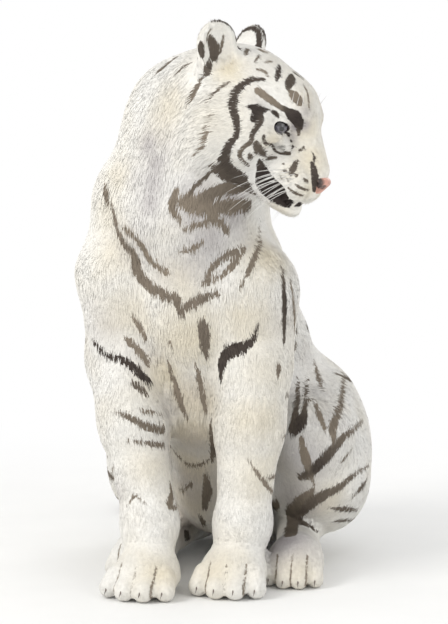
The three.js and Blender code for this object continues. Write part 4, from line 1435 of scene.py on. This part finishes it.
# The faces of one tuft, and how far along its hair each of its points is. A long tuft has two
# rings of three points and a tip, a short one has one ring and a tip.
LONG_FACES = [(0, 3, 4, 1), (1, 4, 5, 2), (2, 5, 3, 0), (3, 6, 4), (4, 6, 5), (5, 6, 3), (0, 1, 2)]
LONG_TONES = [0, 0, 0, 0.55, 0.55, 0.55, 1]
SHORT_FACES = [(0, 3, 1), (1, 3, 2), (2, 3, 0), (0, 1, 2)]
SHORT_TONES = [0.1, 0.1, 0.1, 1]
CLUMPS = np.array([[0.045, 0.031, 0.052], [0.021, -0.034, 0.017]])  # waves in the lie, per mm
TUFT_SUNK = 0.6
TUFT_PATCH = 0.0015  # half the breadth of a tuft's patch on the unwrap
COAT_ABOVE_FLOOR = 0.3


def repeated_mesh(name, points, count, faces):
    """A mesh of this many bodies of the same make, each with these faces on its own points."""
    each, corners = len(points) // count, np.concatenate(faces)
    starts = np.cumsum([0] + [len(face) for face in faces[:-1]])
    body = np.arange(count)[:, None]
    mesh = bpy.data.meshes.new(name)
    mesh.vertices.add(len(points))
    mesh.loops.add(count * len(corners))
    mesh.polygons.add(count * len(faces))
    for items, key, values in (
        (mesh.vertices, "co", metres(points).astype(np.float32)),
        (mesh.loops, "vertex_index", (body * each + corners).astype(np.int32)),
        (mesh.polygons, "loop_start", (body * len(corners) + starts).astype(np.int32)),
        (mesh.polygons, "use_smooth", np.ones(count * len(faces), bool)),
    ):
        items.foreach_set(key, values.ravel())
    mesh.update(calc_edges=True)
    return mesh


def grow_tufts(name, skin, paths, coat, rng, chosen, weights, long_hair):
    """One piece of the coat: closed, tapered tufts that lie along the skin, tips standing out."""
    corners = skin.corners[chosen]
    root = blend_at(skin.points, corners, weights)
    up = unit(blend_at(skin.normals, corners, weights))
    uv = blend_at(skin.uvs, chosen, weights)
    lie, length, stand = coat.at(root)
    n = len(root)
    lie = unit(lie - up * (lie * up).sum(1)[:, None])
    side = np.cross(up, lie)
    clump = np.sin(root @ CLUMPS[0] + 3 * np.sin(root @ CLUMPS[1]))
    yaw = rng.normal(0, 0.12, n) + 0.14 * clump
    way = lie * np.cos(yaw)[:, None] + side * np.sin(yaw)[:, None]
    side = np.cross(up, way)
    width = tuft_width(length) * rng.uniform(0.75, 1.25, n)
    length = length * rng.uniform(0.7, 1.25, n)
    stand = stand * rng.uniform(0.4, 1.5, n)
    shade = rng.random(n)

    thick = (width * 0.25)[:, None]
    half = (width / 2)[:, None] * side
    along, rise = length[:, None] * way, (stand * length)[:, None] * up
    base, middle = root - up * TUFT_SUNK, root + along * 0.5 + rise * 0.62
    rows = [base - half, base + up * (thick + TUFT_SUNK), base + half]
    if long_hair:
        rows += [middle - half * 0.8, middle + up * thick * 0.9, middle + half * 0.8]
    rows.append(root + along + rise * 0.75)
    faces, tones = (LONG_FACES, LONG_TONES) if long_hair else (SHORT_FACES, SHORT_TONES)
    k = len(rows)
    points = np.stack(rows, 1).reshape(-1, 3)
    points[:, 2] = np.maximum(points[:, 2], COAT_ABOVE_FLOOR)
    mesh = repeated_mesh(name, points, n, faces)

    turns = np.arange(k) * 2 * np.pi / k
    patch = TUFT_PATCH * np.stack([np.cos(turns), np.sin(turns)], 1)
    spots = (uv[:, None, :] + patch)[:, np.concatenate(faces)].reshape(-1, 2)
    layer = mesh.uv_layers.new(name=UV_NAME)
    layer.uv.foreach_set("vector", np.clip(spots, 0, 1).astype(np.float32).ravel())
    mark, tone = all_marks(root + along * 0.5, paths)
    write_attribute(mesh, "mark", np.repeat(mark + rng.normal(0, 1.2, n), k))
    write_attribute(mesh, "tone", np.repeat(np.clip(tone + rng.normal(0, 0.05, n), 0, 1), k))
    for key, values in skin.soft.items():
        write_attribute(mesh, key, np.repeat(blend_at(values, corners, weights), k))
    write_attribute(mesh, "hair", (0.45 * shade[:, None] + 0.55 * np.array(tones)).ravel())
    own = read(mesh.vertices, "normal", 3)
    mixed = unit(np.repeat(up, k, axis=0) * 0.9 + own * 0.1)
    mesh.normals_split_custom_set_from_vertices(mixed.astype(np.float32))
    return mesh


def one_hair(bm, foot, way, length, radius):
    """Adds a bent, pointed hair of four sides."""
    steps = 7
    sag = np.array((0, 0, -1)) * length * 0.22
    across = unit(np.cross(way, (0, 0, 1)))
    up = np.cross(across, way)
    rings = []
    for i in range(steps):
        t = i / steps
        middle = foot + way * length * t + sag * t * t
        thick = radius * (1 - t) + 0.12
        corners = [middle + thick * corner for corner in (across, up, -across, -up)]
        rings.append([bm.verts.new(metres(corner)) for corner in corners])
    tip = bm.verts.new(metres(foot + way * length + sag))
    for low, high in pairs(rings):
        for a in range(4):
            b = (a + 1) % 4
            bm.faces.new((low[b], low[a], high[a], high[b]))
    bm.faces.new(rings[0])
    for a in range(4):
        bm.faces.new((rings[-1][(a + 1) % 4], rings[-1][a], tip))


def grow_whiskers():
    """Long white hairs from the whisker pads and over the eyes, bent back and down."""
    rng = np.random.default_rng(WHISKER_SEED)
    bm = bmesh.new()
    roots = []
    for s in BOTH:
        for row in range(4):
            for place in range(5 - (row == 0)):
                start = (170 - place * 12 - row * 3, 52 + place * 4, -66 - row * 12 - place * 1.5)
                way = (-0.55 - 0.05 * place, 0.62, -0.50 - 0.16 * row)
                roots.append((mirrored(start, s), mirrored(way, s), rng.uniform(70, 120)))
        for place in range(3):
            start, way = (86 - place * 9, 48 + place * 8, 62), (-0.2, 0.35, 0.9)
            roots.append((mirrored(start, s), mirrored(way, s), rng.uniform(34, 50)))
    flesh = Flesh([*head_layers(), *face_layers()])
    feet = np.array([in_head(start) for start, way, length in roots])
    feet = flesh.drawn_onto(feet, depth=3.0, reach=20.0, rounds=4)
    for foot, (start, way, length) in zip(feet, roots):
        way = unit(HEAD[:3, :3] @ way) + rng.normal(0, 0.07, 3)
        one_hair(bm, foot, way, length, rng.uniform(0.65, 0.85))
    bmesh.ops.recalc_face_normals(bm, faces=bm.faces)
    mesh = mesh_of(bm, "whiskers")
    mesh.shade_smooth()
    return mesh


def unwrap(mesh):
    """An unwrap of the skin's own shape, in its own layer of UVs."""
    piece = bpy.data.objects.new("unwrap", mesh)
    bpy.context.scene.collection.objects.link(piece)
    for other in bpy.context.view_layer.objects:
        other.select_set(False)
    piece.select_set(True)
    bpy.context.view_layer.objects.active = piece
    mesh.uv_layers.new(name=UV_NAME)
    bpy.ops.object.mode_set(mode="EDIT")
    bpy.ops.mesh.select_all(action="SELECT")
    bpy.ops.uv.smart_project(angle_limit=math.radians(66), island_margin=0.002)
    bpy.ops.object.mode_set(mode="OBJECT")
    bpy.data.objects.remove(piece)


# ---------------------------------------------------------------- materials


class Nodes:
    """Adds nodes to a tree and joins them."""

    def __init__(self, tree):
        self.tree = tree

    def add(self, kind, **values):
        node = self.tree.nodes.new(kind)
        for name, value in values.items():
            if name in node.inputs:
                self.feed(value, node.inputs[name])
            else:
                setattr(node, name, value)
        return node

    def feed(self, value, socket):
        if isinstance(value, bpy.types.NodeSocket):
            self.tree.links.new(value, socket)
        elif hasattr(value, "__len__") and len(value) == 3 and socket.type == "RGBA":
            socket.default_value = (*value, 1)
        else:
            socket.default_value = value

    def fed(self, node, *values):
        """Feeds a node's inputs in their order and gives its first output."""
        for value, socket in zip(values, node.inputs):
            self.feed(value, socket)
        return node.outputs[0]

    def math(self, operation, a, b, clamp=False):
        return self.fed(self.add("ShaderNodeMath", operation=operation, use_clamp=clamp), a, b)

    def ranged(self, value, low, high, to_low=0.0, to_high=1.0, kind="SMOOTHSTEP"):
        node = self.add("ShaderNodeMapRange", interpolation_type=kind)
        return self.fed(node, value, low, high, to_low, to_high)

    def mix(self, share, a, b, blend="MIX"):
        node = self.add("ShaderNodeMix", data_type="RGBA", blend_type=blend)
        for name, v in (("Factor_Float", share), ("A_Color", a), ("B_Color", b)):
            self.feed(v, next(s for s in node.inputs if s.identifier == name))
        return next(s for s in node.outputs if s.identifier == "Result_Color")

    def noise(self, scale, detail, place=None):
        place = place or self.add("ShaderNodeTexCoord").outputs["Object"]
        node = self.add("ShaderNodeTexNoise", Vector=place, Scale=scale, Detail=detail)
        return node.outputs["Fac"]

    def attribute(self, name):
        return self.add("ShaderNodeAttribute", attribute_name=name).outputs["Fac"]

    def mottled(self, scale, detail, one, other, place=None):
        """Soft spots of one colour in another."""
        return self.mix(self.ranged(self.noise(scale, detail, place), 0.3, 0.7), one, other)

    def bump(self, strength, distance, height):
        node = self.add("ShaderNodeBump", Strength=strength, Distance=distance, Height=height)
        return node.outputs[0]


def times(colour, k):
    return tuple(c * k for c in colour)


def markings_group(look):
    """The colour of the coat from the marks, their tone, the painted shade and the warmth on its
    points.
    """
    if "coat_colours" in bpy.data.node_groups:
        return bpy.data.node_groups["coat_colours"]
    tree = bpy.data.node_groups.new("coat_colours", "ShaderNodeTree")
    for label, way, kind in (
        ("Ragged", "INPUT", "Float"), ("Grain", "INPUT", "Float"), ("Color", "OUTPUT", "Color"),
    ):
        tree.interface.new_socket(label, in_out=way, socket_type="NodeSocket" + kind)
    nodes = Nodes(tree)
    given = nodes.add("NodeGroupInput").outputs
    fine = nodes.math("SUBTRACT", nodes.noise(150.0, 2.0), 0.5)
    broad = nodes.ranged(nodes.noise(9.0, 2.0), 0.35, 0.75, 0.0, 0.28)
    warm = nodes.math("ADD", nodes.attribute("warm"), broad, clamp=True)
    ground = nodes.mix(warm, look.white, look.cream)
    # painted shade: the coat turns violet grey where shade is painted on it
    ground = nodes.mix(nodes.attribute("painted_shade"), ground, look.painted_shade_grey)
    pigment = nodes.mix(nodes.attribute("tone"), look.taupe, look.sable)
    ragged = nodes.math("MULTIPLY", fine, given["Ragged"])
    edge = nodes.math("ADD", nodes.attribute("mark"), ragged)
    painted = nodes.mix(nodes.ranged(edge, -1.2, 1.2, 1.0, 0.0), ground, pigment)
    hair = nodes.ranged(nodes.attribute("hair"), 0.0, 1.0, 0.84, 1.06, kind="LINEAR")
    grain = nodes.math("ADD", 1.0, nodes.math("MULTIPLY", fine, given["Grain"]))
    shade = nodes.math("MULTIPLY", hair, grain)
    grey = nodes.add("ShaderNodeCombineColor", Red=shade, Green=shade, Blue=shade).outputs[0]
    nodes.add("NodeGroupOutput", Color=nodes.mix(1.0, painted, grey, blend="MULTIPLY"))
    return tree


def material_of(name, roughness, clear_coat=0.0):
    """A new material, its nodes and the inputs of its shader."""
    made = bpy.data.materials.new(name)
    made.use_nodes = True
    shader = made.node_tree.nodes["Principled BSDF"].inputs
    shader["Roughness"].default_value = roughness
    shader["Coat Weight"].default_value = clear_coat
    shader["Coat Roughness"].default_value = 0.05
    return made, Nodes(made.node_tree), shader


def coat_material(name, look, ragged, grain, bump):
    made, nodes, shader = material_of(name, 0.85)
    shader["Specular IOR Level"].default_value = 0.2
    colours = nodes.add("ShaderNodeGroup", node_tree=markings_group(look))
    colours.inputs["Ragged"].default_value = ragged
    colours.inputs["Grain"].default_value = grain
    nodes.feed(colours.outputs["Color"], shader["Base Color"])
    if bump:
        nodes.feed(nodes.bump(bump, 0.002, nodes.noise(330.0, 2.0)), shader["Normal"])
    return made


def eye_material(look):
    """Pupil, iris, its dark rim and the shade under the lid, from the middle outwards."""
    made, nodes, shader = material_of("eye", 0.12, clear_coat=1.0)
    radius = nodes.attribute("from_pupil")
    iris = nodes.mottled(420.0, 2.0, times(look.iris, 0.7), times(look.iris, 1.35))
    iris = nodes.mix(nodes.ranged(radius, 4.5, 7.5), times(look.iris, 0.6), iris)
    ball = nodes.mix(nodes.ranged(radius, 12.6, 14.6), iris, (0.030, 0.022, 0.020))
    ball = nodes.mix(nodes.ranged(radius, 4.8, 5.6), (0.004, 0.004, 0.005), ball)
    ball = nodes.mix(nodes.attribute("lid_shade"), ball, (0.016, 0.013, 0.014))
    nodes.feed(ball, shader["Base Color"])
    return made


def nose_material(look):
    made, nodes, shader = material_of("nose", 0.42, clear_coat=0.15)
    broad = nodes.noise(90.0, 3.0)
    blotches = nodes.ranged(broad, 0.4, 0.7, -0.1, 0.15)
    dusk = nodes.math("ADD", nodes.attribute("dusk"), blotches, clamp=True)
    pink = nodes.mix(nodes.ranged(broad, 0.3, 0.7), look.nose_pink, times(look.nose_pink, 0.8))
    nodes.feed(nodes.mix(dusk, pink, (0.045, 0.030, 0.026)), shader["Base Color"])
    nodes.feed(nodes.bump(0.35, 0.0008, nodes.noise(700.0, 2.0)), shader["Normal"])
    return made


def claw_material(look):
    made, nodes, shader = material_of("claw", 0.35)
    nodes.feed(nodes.mottled(260.0, 3.0, look.horn, times(look.horn, 1.9)), shader["Base Color"])
    return made


def whisker_material():
    made, nodes, shader = material_of("whisker", 0.4)
    hair = nodes.mottled(60.0, 1.0, (0.80, 0.79, 0.76), (0.62, 0.60, 0.57))
    nodes.feed(hair, shader["Base Color"])
    return made


# ---------------------------------------------------------------- pieces


def settled(name, mesh, material, slot, *replaced):
    """A finished piece in the scene, riding on the body."""
    for old in [o for o in bpy.data.objects if o.name == name]:
        bpy.data.objects.remove(old)
    piece = bpy.data.objects.new(name, mesh)
    mesh.name = name
    mesh.materials.clear()
    mesh.materials.append(material)
    bpy.context.scene.collection.objects.link(piece)
    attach(piece, ROOT)
    if replaced:
        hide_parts(*replaced)
    return piece


def eyeball(s):
    """One eye: a ball with its cornea standing out along the line of sight."""
    local = HEAD @ gaze_frame(s)
    bm = bmesh.new()
    bmesh.ops.create_uvsphere(bm, u_segments=48, v_segments=32, radius=EYE_RADIUS)
    bmesh.ops.rotate(bm, verts=bm.verts, matrix=Matrix.Rotation(math.pi / 2, 3, "Y"))
    mesh = mesh_of(bm, "eye")
    p = coordinates(mesh)
    off = np.hypot(p[:, 1], p[:, 2])
    front = p[:, 0] > 0
    write_attribute(mesh, "from_pupil", np.where(front, off, 40) * HEAD_SIZE)
    write_attribute(mesh, "lid_shade", np.clip((p[:, 2] + 0.35 * s * p[:, 1] - 3.5) / 3.5, 0, 1))
    p[:, 0] += np.where(front, 2.0 * np.clip(1 - (off / 13) ** 2, 0, 1), 0)
    set_coordinates(mesh, metres(p @ local[:3, :3].T + local[:3, 3]))
    mesh.shade_smooth()
    return mesh


NOSE_GROWN = 0.0015
NOSE_CELL = 0.0017


def make_nose():
    """The nose pad with its wings, its nostrils and the groove down its middle."""
    holes = [
        *both(lambda s: Mass((214, s * 15, -67), (13, 6.5, 5), (0, 0, s * 30)), 3, "cut"),
        *both(lambda s: Limb((206, s * 20, -69), (190, s * 34, -61), 3.5, 2.5), 2, "cut"),
    ]
    pad = Flesh([
        *one(Mass((203, 0, -60), (15, 27, 13), (0, -28, 0)), 8),
        *one(Mass((199, 0, -76), (13, 17, 16), (0, 10, 0)), 10),
        *both(lambda s: Mass((196, s * 19, -64), (13, 12, 11)), 6),  # wings
        *holes,
        *one(Limb((224, 0, -60), (212, 0, -96), 2.2, 1.6), 2, "cut"),  # middle groove
    ])
    mesh = mesh_of(largest_island(remeshed(one_shell(["nose"], NOSE_GROWN), NOSE_CELL)), "nose")
    edges = edges_of(mesh)
    p = millimetres(coordinates(mesh))
    for amount in (0.5, 0.4, 0.3):
        p = pad.drawn_onto(relaxed(p, edges, amount), reach=3.0)
    set_coordinates(mesh, metres(p))
    h = head_coordinates(p)
    nostril = Flesh([hole[:2] for hole in holes]).distance(p)
    edge = np.clip((np.abs(h[:, 1]) - 19) / 6, 0, 1) + np.clip((190 - h[:, 0]) / 8, 0, 1)
    write_attribute(mesh, "dusk", np.clip(edge + np.clip(1 - nostril / 2.5, 0, 1), 0, 1))
    mesh.shade_smooth()
    return mesh


# ---------------------------------------------------------------- the studio


FLOOR_RADIUS = 9.0
CAMERA_TARGET = (0.0198, -0.2498, 0.600)
CAMERA_LENS = 131.9
CAMERA_SHIFT = (0.0352564, -0.0304487)
LAMPS = [  # name, place, target, size, power, colour
    ("key", (-2.6, -3.4, 3.2), (0, -0.1, 0.6), 2.2, 112, (1.0, 0.985, 0.96)),
    ("fill", (3.4, -2.6, 1.6), (0, 0, 0.5), 2.6, 30, (0.96, 0.98, 1.0)),
    ("back", (1.2, 3.6, 2.8), (0, 0.2, 0.6), 2.4, 34, (1.0, 1.0, 1.0)),
]


def placed(name, data, place, facing):
    """An object of the studio that looks this way."""
    made = bpy.data.objects.new(name, data)
    made.location = place
    made.rotation_euler = facing.to_track_quat("-Z", "Y").to_euler()
    bpy.context.scene.collection.objects.link(made)
    return made


def make_floor(look):
    """A round floor that fades to white for the camera away from the animal."""
    bm = bmesh.new()
    bmesh.ops.create_circle(bm, segments=96, radius=FLOOR_RADIUS, cap_ends=True)
    mesh = mesh_of(bm, "floor")
    made, nodes, shader = material_of("floor", 0.9)
    shader["Specular IOR Level"].default_value = 0.1
    place = nodes.add("ShaderNodeTexCoord").outputs["Object"]
    paper = nodes.mottled(6.0, 3.0, look.floor, times(look.floor, 0.985), place)
    nodes.feed(paper, shader["Base Color"])
    far = nodes.add("ShaderNodeVectorMath", operation="LENGTH")
    nodes.feed(place, far.inputs[0])
    ray = nodes.add("ShaderNodeLightPath").outputs["Is Camera Ray"]
    fade = nodes.math("MULTIPLY", nodes.ranged(far.outputs["Value"], 0.55, 1.8), ray)
    lit = made.node_tree.nodes["Principled BSDF"].outputs[0]
    white = nodes.add("ShaderNodeEmission", Color=(1.0, 1.0, 1.0), Strength=1.0).outputs[0]
    blend = nodes.fed(nodes.add("ShaderNodeMixShader"), fade, lit, white)
    nodes.feed(blend, made.node_tree.nodes["Material Output"].inputs["Surface"])
    floor = bpy.data.objects.new("floor", mesh)
    mesh.materials.append(made)
    bpy.context.scene.collection.objects.link(floor)


def make_lamps():
    for name, place, target, size, power, colour in LAMPS:
        light = bpy.data.lights.new(name, "AREA")
        light.size = size
        light.energy = power
        light.color = colour
        placed(name, light, place, Vector(target) - Vector(place))


def make_world():
    """A soft white light all round, brighter where it is seen than where it falls."""
    world = bpy.data.worlds.new("studio")
    world.use_nodes = True
    bpy.context.scene.world = world
    nodes = Nodes(world.node_tree)
    background = world.node_tree.nodes["Background"].inputs
    path = nodes.add("ShaderNodeLightPath").outputs
    bent = nodes.math("MAXIMUM", path["Is Glossy Ray"], path["Is Transmission Ray"])
    seen = nodes.math("MAXIMUM", path["Is Camera Ray"], bent)
    background["Color"].default_value = (1, 1, 1, 1)
    nodes.feed(nodes.ranged(seen, 0.0, 1.0, 0.82, 1.0, kind="LINEAR"), background["Strength"])


def make_camera(look):
    a, e = look.azimuth, look.elevation
    back = Vector((math.sin(a) * math.cos(e), -math.cos(a) * math.cos(e), math.sin(e)))
    camera = bpy.data.cameras.new("camera")
    camera.sensor_fit = "VERTICAL"
    camera.sensor_height = 36
    camera.lens = CAMERA_LENS
    camera.shift_x, camera.shift_y = CAMERA_SHIFT
    place = Vector(CAMERA_TARGET) + back * look.distance
    bpy.context.scene.camera = placed("camera", camera, place, -back)


# ---------------------------------------------------------------- operators


class TIGER_OT_skin(bpy.types.Operator):
    """Make the skin, with its markings"""

    bl_idname = "tiger.skin"
    bl_label = "Skin"

    def execute(self, context):
        mesh = make_skin(context.scene.tiger_skin.cell)
        unwrap(mesh)
        write_markings(mesh)
        fur = coat_material("skin", context.scene.tiger_coat, ragged=5.0, grain=0.25, bump=0.5)
        settled("skin", mesh, fur, "coat", *FLESH)
        return {"FINISHED"}


class TIGER_OT_eyes(bpy.types.Operator):
    """Make both eyes"""

    bl_idname = "tiger.eyes"
    bl_label = "Eyes"

    def execute(self, context):
        look = eye_material(context.scene.tiger_skin)
        for name, s in SIDES.items():
            settled("eyeball_" + name, eyeball(s), look, "eyes", "eye_" + name)
        return {"FINISHED"}


class TIGER_OT_nose(bpy.types.Operator):
    """Make the nose pad with its nostrils"""

    bl_idname = "tiger.nose"
    bl_label = "Nose"

    def execute(self, context):
        settled("nose_pad", make_nose(), nose_material(context.scene.tiger_skin), "nose", "nose")
        return {"FINISHED"}


class TIGER_OT_claws(bpy.types.Operator):
    """Finish the claws"""

    bl_idname = "tiger.claws"
    bl_label = "Claws"

    def execute(self, context):
        horn = claw_material(context.scene.tiger_skin)
        for name in CLAWS:
            for place in NODES[name].material_slots:
                place.material = horn
        return {"FINISHED"}


class TIGER_OT_coat(bpy.types.Operator):
    """Grow the coat over the skin"""

    bl_idname = "tiger.coat"
    bl_label = "Coat"

    def execute(self, context):
        if "skin" not in bpy.data.objects:
            raise RuntimeError("The coat needs the skin: make the skin first.")
        look = context.scene.tiger_coat
        under = bpy.data.objects["skin"].data
        skin = Skin(under)
        paths = stroke_paths(SkinField(under))
        coat = Coat(coat_places())
        rng = np.random.default_rng(COAT_SEED)
        chosen, weights = tuft_roots(skin, look.tufts, coat, rng)
        part = part_of_body(skin.middles[chosen])
        hairs = coat_material("coat", look, ragged=3.0, grain=0.15, bump=0)
        for i, name in enumerate(COAT_PIECES):
            here, name, long_hair = part == i, "coat_" + name, name not in SHORT_HAIRED
            roots = chosen[here], weights[here]
            mesh = grow_tufts(name, skin, paths, coat, rng, *roots, long_hair)
            settled(name, mesh, hairs, "coat")
        return {"FINISHED"}


class TIGER_OT_whiskers(bpy.types.Operator):
    """Make the whiskers"""

    bl_idname = "tiger.whiskers"
    bl_label = "Whiskers"

    def execute(self, context):
        settled("whiskers", grow_whiskers(), whisker_material(), None)
        return {"FINISHED"}


class TIGER_OT_stage(bpy.types.Operator):
    """Set up the floor, the lamps, the backdrop and the camera"""

    bl_idname = "tiger.stage"
    bl_label = "Stage"

    def execute(self, context):
        look = context.scene.tiger_stage
        context.scene.view_settings.view_transform = "Standard"
        make_floor(look)
        make_world()
        make_lamps()
        make_camera(look)
        return {"FINISHED"}


class TIGER_PT_panel(bpy.types.Panel):
    """The tiger's pieces and their looks"""

    bl_label = "White Tiger"
    bl_idname = "TIGER_PT_panel"
    bl_space_type = "VIEW_3D"
    bl_region_type = "UI"
    bl_category = "White Tiger"

    def draw(self, context):
        scene = context.scene
        for settings in (scene.tiger_skin, scene.tiger_coat, scene.tiger_stage):
            box = self.layout.box()
            for name in type(settings).__annotations__:
                box.prop(settings, name)
        for operator in PIECES:
            self.layout.operator(operator.bl_idname)


PIECES = [
    TIGER_OT_skin, TIGER_OT_eyes, TIGER_OT_nose, TIGER_OT_claws, TIGER_OT_coat,
    TIGER_OT_whiskers, TIGER_OT_stage,
]
CLASSES = [TigerSkin, TigerCoat, TigerStage, *PIECES, TIGER_PT_panel]


def register():
    for made in CLASSES:
        bpy.utils.register_class(made)
    bpy.types.Scene.tiger_skin = PointerProperty(type=TigerSkin)
    bpy.types.Scene.tiger_coat = PointerProperty(type=TigerCoat)
    bpy.types.Scene.tiger_stage = PointerProperty(type=TigerStage)


def unregister():
    del bpy.types.Scene.tiger_skin
    del bpy.types.Scene.tiger_coat
    del bpy.types.Scene.tiger_stage
    for made in reversed(CLASSES):
        bpy.utils.unregister_class(made)


def main():
    register()
    for operator in PIECES:
        group, name = operator.bl_idname.split(".")
        getattr(getattr(bpy.ops, group), name)()


if __name__ == "__main__":
    main()
